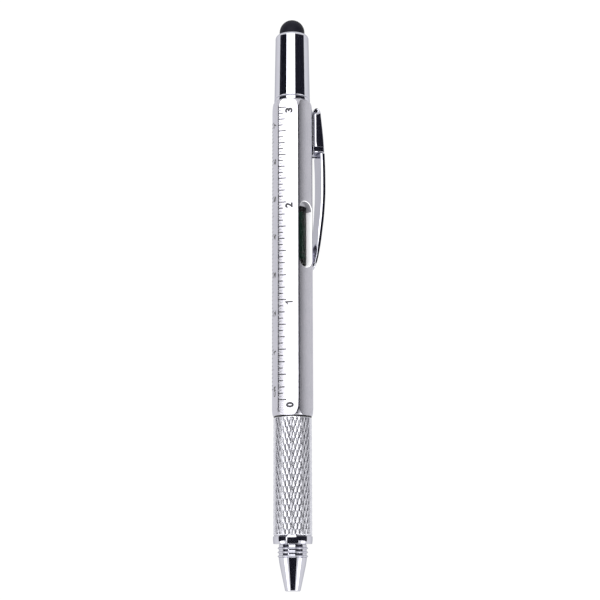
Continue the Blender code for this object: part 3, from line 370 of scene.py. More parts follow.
def windowCutter(shape, face):
    # stadium outlines stacked outwards: straight walls, then a chamfer that opens by its own size
    middle = shape.start + shape.windowStart + shape.windowLength / 2
    top, chamfer, (down, out) = shape.apothem, shape.windowChamfer, shape.chamferMiddle
    rings = []
    for height, growth in ((shape.bore / 2, 0.0), (top - chamfer, 0.0), (top - chamfer * down, chamfer * out),
                           (top + overrun, chamfer + overrun)):
        x, across = stadium(shape.windowLength, shape.windowWidth, growth)
        rings.append(overFace(middle + x, across, height, face))
    cutter = makeItem("windowCutter", [loftPart(np.stack(rings))], "machined")
    # the wall of the round end towards the cap is painted dark grey, a painted shade for the shade in that end: faces
    # past the straight part that stand square to the flat
    cutter.data.materials.append(finishes["shaded"])
    faces = cutter.data.polygons
    outward = overFace(0.0, 0.0, 1.0, face) - overFace(0.0, 0.0, 0.0, face)
    square = np.abs(readRows(faces, "normal") @ outward.ravel()) < shape.wallLimit
    past = readRows(faces, "center")[:, 0] > middle + (shape.windowLength - shape.windowWidth) / 2
    faces.foreach_set("material_index", (square & past).astype(np.int32))
    return cutter


def barrelPiece(shape):
    # the hexagon drawn along the pen, cut to a solid of revolution at its ends, then bored and slotted
    angle, radius, half, bend = hexOutline(shape)
    start, length, bore, chamfer = shape.start, shape.length, shape.bore, shape.boreChamfer
    x = start + length * np.linspace(0, 1, 13)[:, None]
    item = makeItem("barrelShell", [loftPart(roundPen(x, -angle[None], radius[None]))], "satin")
    # the turned ends: an ellipse from the turned radius up to just above the corners
    reach = radius.max() - shape.turnedRadius
    rise = reach + shape.turnedSpare
    run = shape.turnedLength / (1 - math.sqrt(1 - (reach / rise) ** 2))
    low = np.vstack([[(-overrun, 0), (-overrun, shape.turnedRadius)],
                          arcPoints(run, shape.turnedRadius, run, rise, 180, 90, 20)])
    high = low[::-1] * (-1, 1) + (length, 0)
    ends = turnedItem("endCutter", np.vstack([low, high]) + (start, 0), "satin", 144, ring=False)
    grooveEnd, flare = shape.groovePlace + shape.grooveLength, bore + overrun + chamfer
    profile = np.vstack([
        [(-overrun, 0), (-overrun, flare)],
        stairs(chamfer, bore, shape.groovePlace, shape.grooveRadius, grooveEnd, bore),
        [(length - chamfer, bore), (length + overrun, flare), (length + overrun, 0)]])
    boreCutter = turnedItem("boreCutter", profile + (start, 0), "machined", 96, ring=False)
    windows = [windowCutter(shape, face) for face in (windowFace, farWindowFace)]
    slotX = start + shape.lugSlotStart + np.array([[0, 1, 1, 0]]) * shape.lugSlotLength
    slotAcross = np.array([[-0.5, -0.5, 0.5, 0.5]]) * shape.lugSlotWidth
    slotHeight = np.array([[bore / 2], [shape.apothem + overrun]])
    lugCutter = makeItem("lugCutter", [loftPart(overFace(slotX, slotAcross, slotHeight, clipFace))], "machined")
    cutItem(item, boreCutter, *windows, lugCutter, limit=ends, sharp=24)
    place(easeEdges(item), "barrel", "satin_silver", "hex_barrel")
    return half, bend


flatHalf, crownBend = barrelPiece(barrelShape)
print("barrel made, flats", round(2000 * flatHalf, 2), "mm wide")


scaleShape = pieceSizes(
    lift=0.00001, glyphLift=0.00003, sink=0.00002, edge=0.00262,
    inchZero=-0.027425, inch=0.0254, inchCount=3, tickWidth=0.00027, fineWidth=0.00016,
    tickLengths={1: 0.00210, 4: 0.00210, 8: 0.00178, 16: 0.00130, 32: 0.00095},
    centimetreZero=-0.0243, centimetre=0.01, centimetreCount=7,
    millimetreLengths=(0.0021, 0.0017, 0.0012), millimetreWidth=0.00018,
    digitHeight=0.00200, digitWidth=0.00136, digitDrop=0.00090, zeroDrop=0.00133, digitBold=0.052, fineBold=0.012,
    oneWidth=0.00085, inchAcross=0.00025, zeroAcross=0.00045, centimetreAcross=0.0002,
    unitDrop=0.0008, unitHeight=0.0015, unitWidth=0.0026,
    oneOutline=((0.62, 0), (0.94, 0), (0.94, 1), (0.70, 1), (0.52, 0.84), (0.20, 0.76), (0.20, 0.60), (0.62, 0.68)))


def crownHeight(across):
    # a flat's height over the axis = apothem - bend * across^2
    return barrelShape.apothem - crownBend * across ** 2


def tickRow(name, x, length, width, finish, face, shape, steps=8):
    # one thin bar for each tick: it runs across the flat from near its edge and follows its crown
    across = -shape.edge + length[:, None] * np.linspace(0, 1, steps + 1)
    corners = np.array([(-0.5, -1), (0.5, -1), (0.5, 1), (-0.5, 1)])
    lift = np.where(corners[:, 1] > 0, shape.lift, -shape.sink)
    height = crownHeight(across)[..., None] + lift
    points = overFace(x[:, None, None] + corners[:, 0] * width, across[..., None], height, face)
    place(makeItem(name, [loftPart(bar) for bar in points], finish), "barrel", "black_plastic")


def inchTicks(shape):
    # thirty-second parts of an inch, each with the length of its coarsest division
    count = np.arange(shape.inchCount * 32 + 1)
    x = shape.inchZero + shape.inch * count / 32
    length = np.empty(len(count))
    for division, reach in sorted(shape.tickLengths.items(), reverse=True):
        length[count % (32 // division) == 0] = reach
    for name, fine, width, finish in (("inchTicks", 0, shape.tickWidth, "print"),
                                      ("inchFineTicks", 1, shape.fineWidth, "finePrint")):
        chosen = count % 2 == fine
        tickRow(name, x[chosen], length[chosen], width, finish, inchFace, shape)


def millimetreTicks(shape):
    # a tick at each tenth of a centimetre, longer at the fifth and the tenth
    count = np.arange(shape.centimetreCount * 10 + 1)
    whole, half, single = shape.millimetreLengths
    length = np.where(count % 10 == 0, whole, np.where(count % 5 == 0, half, single))
    x = shape.centimetreZero + shape.centimetre / 10 * count
    tickRow("millimetreTicks", x, length, shape.millimetreWidth, "print", centimetreFace, shape)


def figureMesh(name, text, bold, shape):
    # the one is its own outline, a stem with a slanting flag, made thick; other words are made a mesh from text
    if text == "1":
        points = np.stack([np.insert(np.array(shape.oneOutline), 2, depth, axis=1) for depth in (-0.5, 0.5)])
        mesh = bpy.data.meshes.new(name)
        mesh.from_pydata(points.reshape(-1, 3).tolist(), [], loftPart(points)[1])
        return mesh
    curve = bpy.data.curves.new(name, "FONT")
    curve.body, curve.size, curve.extrude, curve.offset, curve.resolution_u = text, 1.0, 0.5, bold, 6
    source = linkObject(name, curve)
    mesh = evaluatedMesh(source)
    bpy.data.objects.remove(source)
    return mesh


def faceFigure(name, text, x, across, height, width, bold, face, shape):
    # points are scaled to a box, then laid on the flat: their right goes along +X, their top towards the ticks
    mesh = figureMesh(name, text, bold, shape)
    points = readRows(mesh.vertices, "co")
    low, high = points.min(0), points.max(0)
    glyph = (points - (low + high) / 2) / (high - low)
    w = across - glyph[:, 1] * height
    lift = np.where(glyph[:, 2] > 0, shape.glyphLift, -shape.sink)
    mesh.vertices.foreach_set("co", overFace(x + glyph[:, 0] * width, w, crownHeight(w) + lift, face).ravel())
    cleanMesh(mesh)
    mesh.materials.clear()
    mesh.materials.append(finishes["print"])
    place(linkObject(name, mesh), "barrel", "black_plastic")


def scaleFigures(shape):
    # each figure sits beside its tick, a set drop before it, and the unit a little before zero
    rows = (("inchDigit", 0, shape.inchCount, shape.inchZero, shape.inch, shape.inchAcross, shape.digitBold, inchFace),
            ("centimetreDigit", 1, shape.centimetreCount, shape.centimetreZero, shape.centimetre,
             shape.centimetreAcross, shape.fineBold, centimetreFace))
    for name, first, last, zero, step, beside, bold, face in rows:
        for value in range(first, last + 1):
            drop, across = (shape.digitDrop, beside) if value else (shape.zeroDrop, shape.zeroAcross)
            width = shape.oneWidth if value == 1 else shape.digitWidth
            faceFigure(f"{name}{value}", str(value), zero + step * value - drop, across, shape.digitHeight, width,
                       bold, face, shape)
    faceFigure("centimetreUnit", "CM", shape.centimetreZero - shape.unitDrop, shape.centimetreAcross,
               shape.unitHeight, shape.unitWidth, shape.fineBold, centimetreFace, shape)


inchTicks(scaleShape)
millimetreTicks(scaleShape)
scaleFigures(scaleShape)
print("scales printed")


vialShape = pieceSizes(
    start=0.005575, length=0.0193, outer=0.0035, inner=0.00295, tubeEdge=0.00012,
    core=0.00297, plugLength=0.0034, plugEdge=0.0002, gap=0.00002,
    bubbleHalfLength=0.00125, bubbleHalfWidth=0.00195, bubbleDepth=0.00095, bubblePlace=0.41,
    marks=(0.0106, 0.0188), markWidth=0.00020, markSunk=0.00001, markProud=0.00002, markEdge=0.00001,
    collarLength=0.0021, collarInner=0.00351, collarOuter=0.00358, collarEdge=0.00002)


def levelVial(shape, sides=96):
    # a tube with two plugs and a fluid cylinder between them, each a rectangle turned about the axis
    start, end, outer, core = shape.start, shape.start + shape.length, shape.outer, shape.core
    place(turnedItem("vialTube", rectangle(start, end, shape.inner, outer), "clear", sides, shape.tubeEdge),
          "barrel", "clear_vial", "vial_tube")
    for name, node, low in (("vialPlugLower", "vial_plug_lower", start),
                            ("vialPlugUpper", "vial_plug_upper", end - shape.plugLength)):
        plug = rectangle(low, low + shape.plugLength, 0, core)
        place(turnedItem(name, plug, "plastic", sides, shape.plugEdge, ring=False), "barrel", "black_plastic", node)
    # a thin collar round the tube's upper end, painted dark grey as painted shade for the shade in the window's end
    collar = rectangle(end - shape.collarLength, end, shape.collarInner, shape.collarOuter)
    place(turnedItem("vialShadeCollar", collar, "shaded", sides, shape.collarEdge, 2), "barrel", "satin_silver")
    low, high = start + shape.plugLength + shape.gap, end - shape.plugLength - shape.gap
    fluid = turnedItem("vialFluid", rectangle(low, high, 0, core), "fluid", sides, ring=False)
    # bubble: an ellipsoid at the side that is up, x and across and up each a radius times sine and cosine; its faces
    # carry a painted highlight, a lighter green
    polar = np.linspace(0, math.pi, 25)[:, None]
    around = np.linspace(0, math.tau, 48, endpoint=False)[None]
    x = low + (high - low) * shape.bubblePlace + shape.bubbleHalfLength * np.cos(polar)
    across = shape.bubbleHalfWidth * np.sin(polar) * np.sin(around)
    height = core + shape.bubbleDepth * np.sin(polar) * np.cos(around)
    bubble = makeItem("bubbleCutter", [gridPart(overFace(x, across, height, -roll), closeColumns=True)], "bubble")
    cutItem(fluid, bubble)
    place(fluid, "barrel", "green_fluid", "vial_fluid")
    half = shape.markWidth / 2
    rings = [rectangle(x - half, x + half, outer - shape.markSunk, outer + shape.markProud) for x in shape.marks]
    marks = [turnedPart(closedCorners(ring, shape.markEdge, 2), sides) for ring in rings]
    place(makeItem("vialMarks", marks, "plastic"), "barrel", "black_plastic")


levelVial(vialShape)
print("vial made")


clipShape = pieceSizes(
    start=0.006675, length=0.0430, height=0.00334, width=0.0060, sheet=0.00055, headStart=0.037725, split=0.0003,
    # head: folded sides, bend and tongue
    bendLength=0.0019, foldLevel=0.00527, foldFade=0.35, narrowRate=2, lipDepth=0.00018, lipSlope=0.36,
    flareLength=0.0032, flareDepth=0.00045, shoulder=0.00030, shoulderFade=0.85, innerRound=1.6, headEase=0.00006,
    tongueWidth=0.0054, tongueLength=0.0108, seat=0.00485, tongueSheet=0.00034, headBevel=0.00004, bevelAngle=50,
    bridgeInset=0.00012, bridgeLength=0.0013, bridgeSides=(-0.00303, 0.00285),
    lugLength=0.0013, lugHalf=0.00105, hookTop=0.003244, hookOverhang=0.0016, hookThickness=0.00055,
    # strip: blunt tip, leaning edge and dimple
    tipWidth=0.0046, tipBlunt=0.45, taper=0.5, tipCrowding=1.5, stripEase=0.00003,
    edgeFlat=0.00068, edgeLeast=0.00008, edgeSlope=0.36, stripSheet=0.00105, sheetGrowth=0.5, thinGap=0.0016,
    dimpleLength=0.0068, dimpleWidth=0.0036, dimpleDepth=0.00100, dimpleInset=0.00042,
    # outer skin: share of the length, share of the height
    curve=((0.000, 0.17), (0.040, 0.33), (0.090, 0.48), (0.165, 0.64), (0.240, 0.76), (0.310, 0.86),
           (0.390, 0.94), (0.460, 0.99), (0.550, 1.00), (0.620, 0.99), (0.690, 0.96), (0.760, 0.92),
           (0.840, 0.84), (0.915, 0.74), (1.000, 0.62)))


def clipSkin(x, shape):
    # outer skin over the axis: a cubic through each pair of the curve's points, with slopes from their neighbours
    share, level = np.array(shape.curve).T
    t = (x - shape.start) / shape.length
    k = np.clip(np.searchsorted(share, t, side="right") - 1, 0, len(share) - 2)
    before, after = np.maximum(k - 1, 0), np.minimum(k + 2, len(share) - 1)
    span = share[k + 1] - share[k]
    slopeStart = (level[k + 1] - level[before]) / (share[k + 1] - share[before]) * span
    slopeEnd = (level[after] - level[k]) / (share[after] - share[k]) * span
    cubic = level[k] + cubicRise((t - share[k]) / span, level[k + 1] - level[k], slopeStart, slopeEnd)
    return barrelShape.apothem + shape.height * cubic


def clipHead(shape, skinSteps=48, bendSteps=40, tongueSteps=24, flatSteps=12):
    # a folded section carried along a path: up the skin, round the bend and back as the tongue
    seat, headStart, ease = shape.seat, shape.headStart, shape.headEase
    bendX = shape.start + shape.length - shape.bendLength
    top = float(clipSkin(np.array(bendX), shape))
    skinX = np.linspace(headStart, bendX, skinSteps)
    bend = arcPoints(bendX, (top + seat) / 2, shape.bendLength, (top - seat) / 2, 90, -90, bendSteps)
    tongueX = np.linspace(bendX, bendX - shape.tongueLength, tongueSteps)[1:]
    pathX = np.hstack([skinX[:-1], bend[:, 0], tongueX])
    pathH = np.hstack([clipSkin(skinX, shape)[:-1], bend[:, 1], np.full(len(tongueX), seat)])
    stepX, stepH = np.gradient(pathX), np.gradient(pathH)
    size = np.hypot(stepX, stepH)
    outX, outH = -stepH / size, stepX / size
    # how far round the bend a section is; the fold fades and the section narrows as it goes
    inBend = np.hstack([np.zeros(len(skinX) - 1), np.linspace(0, 1, len(bend)), np.ones(len(tongueX))])
    fade = 1 - smoothStep(np.clip(inBend / shape.foldFade, 0, 1))
    narrow = np.clip(inBend * shape.narrowRate, 0, 1)
    sheet = shape.sheet + (shape.tongueSheet - shape.sheet) * narrow
    fold = sheet + (np.where(inBend > 0, top, pathH) - shape.foldLevel - sheet) * fade
    shoulder = shape.shoulder * (1 - shape.shoulderFade * narrow)
    half = (shape.width + (shape.tongueWidth - shape.width) * smoothStep(narrow)) / 2
    # the folded wall's lip near the barrel leans in to catch the light from above, and flares at its lower end
    flare = np.where(inBend > 0, 0, np.clip(1 - (pathX - headStart) / shape.flareLength, 0, 1) ** 2)
    lipDepth = (shape.lipDepth + shape.flareDepth * flare) * fade
    sheet, fold, shoulder, half, lipDepth = (each[:, None] for each in (sheet, fold, shoulder, half, lipDepth))
    lip, lean, inner = 2 * ease + lipDepth, shape.lipSlope * lipDepth, sheet * shape.innerRound
    # the section: its half's outer side, the flat top, both sides of the mirrored half, and the half's inner side
    corner = np.radians(np.linspace(90, 0, 7))[1:]
    outerW = np.hstack([half - ease - lean, half - lean, half, half, half - shoulder + shoulder * np.sin(corner)])
    outerD = np.hstack([fold, fold - ease, fold - lip, shoulder, shoulder - shoulder * np.cos(corner)])
    innerW = np.hstack([half - inner, half - sheet, half - sheet])
    innerD = np.hstack([sheet, np.minimum(inner, fold), fold])
    flat = (half - shoulder) * np.linspace(1, -1, flatSteps + 2)[1:-1]
    across = np.hstack([outerW, flat, -outerW[:, ::-1], -innerW[:, ::-1], innerW])
    depth = np.hstack([outerD, 0 * flat, outerD[:, ::-1], innerD[:, ::-1], innerD])
    points = overFace(pathX[:, None] - outX[:, None] * depth, across, pathH[:, None] - outH[:, None] * depth, clipFace)
    # cross bridge: a block between the tongue and the skin
    low, high = headStart + shape.bridgeInset, headStart + shape.bridgeInset + shape.bridgeLength
    skinLow, skinHigh = clipSkin(np.array([low, high]), shape) - shape.sheet / 2
    bridge = [(low, seat), (high, seat), (high, skinHigh), (low, skinLow)]
    # hook lug: an L in the barrel's slot
    hookX, lugX, hookTop = headStart - shape.hookOverhang, headStart + shape.lugLength, shape.hookTop
    hookLow, lugTop = hookTop - shape.hookThickness, seat + shape.tongueSheet / 2
    lug = [(headStart, hookTop), (hookX, hookTop), (hookX, hookLow), (lugX, hookLow), (lugX, lugTop),
           (headStart, lugTop)]
    parts = [loftPart(points)]
    for outline, sides in ((bridge, shape.bridgeSides), (lug, (-shape.lugHalf, shape.lugHalf))):
        x, height = np.array(outline).T[:, None]
        parts.append(loftPart(overFace(x, np.array(sides)[:, None], height, clipFace)))
    item = makeItem("clipHead", parts, "chrome", sharp=18)
    place(easeEdges(item, shape.headBevel, shape.bevelAngle), "barrel", "bright_chrome", "clip_head")


def clipStrip(shape, steps=220, topSteps=65):
    # a flat loop carried along the skin; it widens from the blunt tip, and a paraboloid is pressed in near the tip
    start, ease = shape.start, shape.stripEase
    share = np.linspace(0, 1, steps) ** shape.tipCrowding
    x = (start + (shape.headStart - shape.split - start) * share)[:, None]
    half = (shape.tipWidth + (shape.width - shape.tipWidth) * np.clip(share / shape.taper, 0, 1)) / 2
    roundEnd = np.clip((x[:, 0] - start) / (shape.tipWidth / 2), 0, 1)
    half = (half * (shape.tipBlunt + (1 - shape.tipBlunt) * np.sqrt(1 - (1 - roundEnd) ** 2)))[:, None]
    # the edge is flat on its outer part and leans in on its inner part; the sheet stays clear of the barrel
    gap = clipSkin(x, shape) - barrelShape.apothem
    sheet = np.clip(shape.sheet + shape.sheetGrowth * (gap - shape.thinGap), shape.sheet, shape.stripSheet)
    sheet = np.minimum(sheet, gap - ease)
    flat = np.minimum(shape.edgeFlat, sheet - shape.edgeLeast)
    lean, top = shape.edgeSlope * (sheet - flat), np.linspace(-1, 1, topSteps)
    across = np.hstack([(half - ease) * top, half, half, (half - lean) * top[::-1], -half, -half])
    drop = np.hstack([0 * x * top, ease + 0 * x, flat, sheet + 0 * top, flat, ease + 0 * x])
    middle = start + shape.dimpleInset + shape.dimpleLength / 2
    away = np.hypot((x - middle) / (shape.dimpleLength / 2), across / (shape.dimpleWidth / 2))
    height = clipSkin(x, shape) - drop - shape.dimpleDepth * np.clip(1 - away ** 2, 0, 1)
    item = makeItem("clipStrip", [loftPart(overFace(x, across, height, clipFace))], "chrome", sharp=18)
    place(easeEdges(item), "clip", "bright_chrome", "clip_arm")


clipHead(clipShape)
clipStrip(clipShape)
print("clip made")


gripShape = pieceSizes(
    start=-0.062775, length=0.03135, core=0.0020, socket=0.0034, socketDepth=0.0056, corner=0.00006,
    bandLength=0.0019, bandRadius=0.004925, bandEnd=0.00480, bandTop=0.75, bandChamfer=0.0001, bandShare=(0.02, 0.98),
    grooveWidth=0.0002, grooveRadius=0.00462, journal=0.0035, journalLength=0.0070, seat=0.00262, seatDepth=0.0070,
    sealPlace=0.0013, sealWidth=0.0006, sealRadius=0.00305, ringPlace=0.0044, ringWidth=0.0008, ringRadius=0.0031,
    knurlRadius=0.004825, knurlDepth=0.00012, knurlRound=30, knurlPitch=0.0030, knurlSteps=12, knurlTop=10 / 12,
    knurlChamfer=0.00015, knurlSkin=0.0002, underGap=0.0001,
    # a black ring in the gap paints the gap's shade
    washerInner=0.0037, washerOuter=0.00478, washerThickness=0.00029, washerSunk=0.00012, washerEdge=0.00003)


def gripBody(shape):
    # one closed profile turned about the axis: socket, crowned band, core under the knurl, journal with two grooves
    length, journal = shape.length, shape.journal
    knurlStart, knurlEnd = shape.bandLength + shape.grooveWidth, length - shape.washerSunk
    under = shape.knurlRadius - shape.knurlDepth - shape.underGap
    # the band: a parabola, highest near its back end
    along = np.linspace(*shape.bandShare, 15)
    fall = (shape.bandRadius - shape.bandEnd) * (along / shape.bandTop - 1) ** 2
    band = np.stack([shape.bandLength * along, shape.bandRadius - fall], axis=-1)
    seal, ring, top = length + shape.sealPlace, length + shape.ringPlace, length + shape.journalLength
    sealEnd, ringEnd, seatFloor = seal + shape.sealWidth, ring + shape.ringWidth, length - shape.seatDepth
    profile = np.vstack([
        [(0, shape.socket), (0, shape.bandEnd - shape.bandChamfer)], band,
        stairs(shape.bandLength, shape.grooveRadius, knurlStart, under, knurlEnd, journal, seal, shape.sealRadius,
               sealEnd, journal, ring, shape.ringRadius, ringEnd, journal, top, shape.seat, seatFloor, shape.core,
               shape.socketDepth, shape.socket)])
    item = turnedItem("gripBody", profile + (shape.start, 0), "chrome", cut=shape.corner, steps=3, sharp=50)
    place(easeEdges(item), "grip", "bright_chrome", "grip")


def turnWasher(shape):
    # a thin black ring in the gap between the grip and the barrel: painted shade, a dark sheet where the gap lies in
    # shade
    low = shape.start + shape.length - shape.washerSunk
    ring = rectangle(low, low + shape.washerThickness, shape.washerInner, shape.washerOuter)
    place(turnedItem("turnWasher", ring, "plastic", 96, shape.washerEdge, 3), "grip", "black_plastic")


def knurledSleeve(shape):
    # two sets of grooves run round the sleeve in opposite helices; the height at a point is the share
    # of the way to the nearest groove's neighbour, cut off flat at the top, and it ends in small chamfers
    steps, outer = shape.knurlSteps, shape.knurlRadius
    low = shape.start + shape.bandLength + shape.grooveWidth
    high = shape.start + shape.length - shape.washerSunk
    rows, columns = round((high - low) / (shape.knurlPitch / steps)) + 1, shape.knurlRound * steps
    i, j = np.arange(rows)[:, None], np.arange(columns)[None]
    first, second = (j + i) % steps, (j - i) % steps
    toGroove = np.minimum(np.minimum(first, steps - first), np.minimum(second, steps - second)) / (steps / 2)
    height = np.minimum(toGroove, shape.knurlTop) / shape.knurlTop
    radius = outer - shape.knurlDepth * (1 - height)
    radius[[0, -1]] = np.minimum(radius[[0, -1]], outer - shape.knurlChamfer)
    angle = math.tau * j / columns
    outside = roundPen(low + (high - low) * i / (rows - 1), angle, radius)
    # each quad is split along its lower diagonal, so that the grooves run straight
    a, b = i[:-1] * columns + j, i[:-1] * columns + (j + 1) % columns
    c, d = b + columns, a + columns
    flat = radius.ravel()
    lowFirst = (flat[a] + flat[c] <= flat[b] + flat[d])[..., None]
    one = np.where(lowFirst, np.stack([a, b, c], -1), np.stack([a, b, d], -1))
    two = np.where(lowFirst, np.stack([a, c, d], -1), np.stack([b, c, d], -1))
    skin = (outside.reshape(-1, 3), np.vstack([one.reshape(-1, 3), two.reshape(-1, 3)]).tolist())
    inside = roundPen(np.array([[low], [high]]), angle, outer - shape.knurlDepth - shape.knurlSkin)
    lining = gridPart(np.vstack([outside[:1], inside, outside[-1:]]), closeColumns=True)
    place(makeItem("knurledSleeve", [skin, lining], "knurl", sharp=14), "grip", "bright_chrome", "grip")


gripBody(gripShape)
turnWasher(gripShape)
knurledSleeve(gripShape)
print("grip made")


noseShape = pieceSizes(
    start=-0.074225, length=0.01125, tipRadius=0.00192, tipEdge=0.0002, corner=0.00014,
    coneLength=0.0058, coneRadius=0.00313, shoulderLength=0.00235, shoulderRadius=0.00350, shoulderSlope=0.11,
    ringRadius=0.00376, grooveRadius=0.00344, beadHalf=0.00026, ringPitch=0.00098, ringWidth=0.00064, ringCount=3,
    hole=0.00130, holeLength=0.0034, bore=0.0021, spigot=0.0033, spigotLength=0.0052)


def noseCone(shape):
    # one closed profile turned about the axis: straight cone, cubic shoulder, elliptic beads, spigot and bore
    coneLength, tipRadius, tipEdge, groove = shape.coneLength, shape.tipRadius, shape.tipEdge, shape.grooveRadius
    # three beads: each a half ellipse above the groove
    bead = arcPoints(shape.ringWidth / 2, groove, shape.beadHalf, shape.ringRadius - groove, 180, 0, 12)
    step = coneLength + shape.shoulderLength + np.arange(shape.ringCount)[:, None] * shape.ringPitch
    rings = np.stack([(step + bead[None, :, 0]).ravel(), np.tile(bead[:, 1], shape.ringCount)], axis=-1)
    # the shoulder: radius = cubic with the cone's slope at one end and a gentler slope at the rings
    t = np.linspace(0, 1, 13)
    cone = (shape.coneRadius - tipRadius) / (coneLength - tipEdge) * shape.shoulderLength
    swell = cubicRise(t, shape.shoulderRadius - shape.coneRadius, cone, shape.shoulderSlope * shape.shoulderLength)
    shoulder = np.stack([coneLength + shape.shoulderLength * t, shape.coneRadius + swell], axis=-1)
    length, back = shape.length, shape.length + shape.spigotLength
    profile = np.vstack([
        [(0, shape.hole), (0, tipRadius - tipEdge), (tipEdge, tipRadius)], shoulder, rings,
        stairs(length, groove, length, shape.spigot, back, shape.bore, shape.holeLength, shape.hole)])
    item = turnedItem("noseCone", profile + (shape.start, 0), "chrome", 144, shape.corner, 5, sharp=50)
    place(easeEdges(item), "nose", "bright_chrome", "nose_cone")


noseCone(noseShape)
print("nose made")


holderShape = pieceSizes(
    start=0.051175, flange=0.0009, flangeRadius=0.00468, body=0.00352, depth=0.0098, corner=0.0001,
    neck=0.0035, neckLength=0.0058, neckChamfer=0.0002, sealPlace=0.0035, sealWidth=0.0006, sealRadius=0.00305,
    bore=0.0018, socketFlat=0.0041, socketDepth=0.0083, socketChamfer=0.0001)


def bitHolder(shape):
    # a turned body with flange and grooved neck, less a hexagon whose corner radius = half its flat / cos 30 degrees
    flange, neck, depth, chamfer = shape.flange, shape.neck, shape.depth, shape.neckChamfer
    end, seal = flange + shape.neckLength, flange + shape.sealPlace
    profile = np.vstack([
        stairs(-depth, shape.bore, -depth, shape.body, 0, shape.flangeRadius, flange, neck, seal, shape.sealRadius,
               seal + shape.sealWidth, neck),
        [(end - chamfer, neck), (end, neck - chamfer), (end, shape.bore)]])
    item = turnedItem("bitHolder", profile + (shape.start, 0), "chrome", cut=shape.corner, sharp=50)
    corner = shape.socketFlat / 2 / math.cos(faceStep / 2)
    angle = (np.arange(6) + 0.5)[None] * faceStep
    x = shape.start + end - np.array([[shape.socketDepth], [shape.socketChamfer], [-overrun]])
    radius = corner + np.array([[0.0], [0.0], [overrun + shape.socketChamfer]])
    socket = makeItem("socketCutter", [loftPart(roundPen(x, angle, radius))], "chrome")
    cutItem(item, socket, sharp=50)
    place(easeEdges(item), "barrel", "bright_chrome", "bit_holder")


capShape = pieceSizes(
    start=0.052175, length=0.01775, footRadius=0.00464, topRadius=0.00437, shoulder=0.0010, shoulderEnd=8,
    footChamfer=0.00022, bore=0.00372, lip=0.0011, lipRadius=0.0034, lipChamfer=0.0001, corner=0.00008)


def capPiece(shape):
    # a turned sleeve: a straight taper from foot to top, then a quarter circle, and a lip that closes the bore
    length, bore, bend, foot, lip = shape.length, shape.bore, shape.shoulder, shape.footRadius, shape.lipRadius
    shoulder = arcPoints(length - bend, shape.topRadius - bend, bend, bend, 90, shape.shoulderEnd, 14)
    profile = np.vstack([
        [(0, bore), (0, foot - shape.footChamfer), (shape.footChamfer, foot)], shoulder,
        [(length, lip + shape.lipChamfer)], stairs(length, lip, length - shape.lip, bore)])
    item = turnedItem("capSleeve", profile + (shape.start, 0), "chrome", 144, shape.corner, sharp=50)
    place(easeEdges(item), "cap", "bright_chrome", "cap")


domeShape = pieceSizes(neck=0.0010, radius=0.0033, wall=0.0008, rimThickness=0.0005, rimRadius=0.00364, rimGap=0.0001)


def stylusDome(shape, cap):
    # a hemisphere on a short neck, hollow, with a rim that is held under the cap's lip
    capTop = cap.start + cap.length
    rim = capTop - cap.lip - shape.rimGap - shape.rimThickness
    outer, inner = shape.radius, shape.radius - shape.wall
    outside = arcPoints(capTop + shape.neck, 0, outer, outer, 90, 0, 28)
    inside = arcPoints(capTop + shape.neck, 0, inner, inner, 0, 90, 20)
    outside[-1, 1] = inside[0, 1] = 0
    brim = stairs(rim, inner, rim, shape.rimRadius, rim + shape.rimThickness, outer)
    item = turnedItem("stylusDome", np.vstack([inside, brim, outside]), "rubber", ring=False, sharp=60)
    place(easeEdges(item), "cap", "black_rubber", "stylus_dome")


bitHolder(holderShape)
capPiece(capShape)
stylusDome(domeShape, capShape)
print("cap and holder made")


refillShape = pieceSizes(
    start=-0.072425, pointLength=0.0060, coneLength=0.0029, pointRadius=0.0011, tipRadius=0.00048, edge=0.00005,
    tubeRadius=0.001175, tubeWall=0.000175, tubeEnd=-0.005485, ball=0.00035, ballGap=0.00003, showing=0.00022,
    shankLength=0.0035, shankGap=0.00003, tubeGap=0.0001)


def refillPieces(shape):
    # a turned tube, a point with a spherical cup that meets its mouth where cos(angle) = offset / radius, and a ball
    start, tubeStart, ball = shape.start, shape.start + shape.pointLength, shape.ball
    outer, inner = shape.tubeRadius, shape.tubeRadius - shape.tubeWall
    tube = rectangle(tubeStart, shape.tubeEnd, inner, outer)
    place(turnedItem("refillTube", tube, "steel", 48, shape.edge, 3, sharp=50), "refill", "spring_steel", "refill_tube")
    ballX, cup = start + ball - shape.showing, ball + shape.ballGap
    mouth = 180 - math.degrees(math.acos((ballX - start) / cup))
    hollow = arcPoints(ballX, 0, cup, cup, mouth, 0, 12)
    hollow[-1, 1] = 0
    back, seat, shank = tubeStart + shape.shankLength, tubeStart - shape.tubeGap, inner - shape.shankGap
    profile = np.vstack([
        stairs(back, 0, back, shank, seat, shape.pointRadius),
        [(start + shape.coneLength, shape.pointRadius), (start, shape.tipRadius)], hollow])
    point = turnedItem("refillPoint", profile, "brass", 64, shape.edge, 3, ring=False, sharp=50)
    place(point, "refill", "plain_brass", "refill_point")
    arc = arcPoints(ballX, 0, ball, ball, 180, 0, 20)
    arc[[0, -1], 1] = 0
    place(turnedItem("writingBall", arc, "toolSteel", 32, ring=False), "refill", "dark_tool_steel", "writing_ball")


refillPieces(refillShape)

# The other inner parts keep their solids, each with its own finish
carried = {
    "cam_sleeve": "brass", "retaining_ring": "steel", "cap_seal_ring": "rubber", "screwdriver_bit": "toolSteel",
    "drive_tube": "steel", "grip_seal_ring": "rubber", "refill_carrier": "plastic", "follower_pin": "steel",
    "refill_ink": "ink", "stylus_insert": "brass",
}
for node, finish in carried.items():
    slots = frame["nodes"][node].data.materials
    slots.clear()
    slots.append(finishes[finish])
print("inner parts finished")


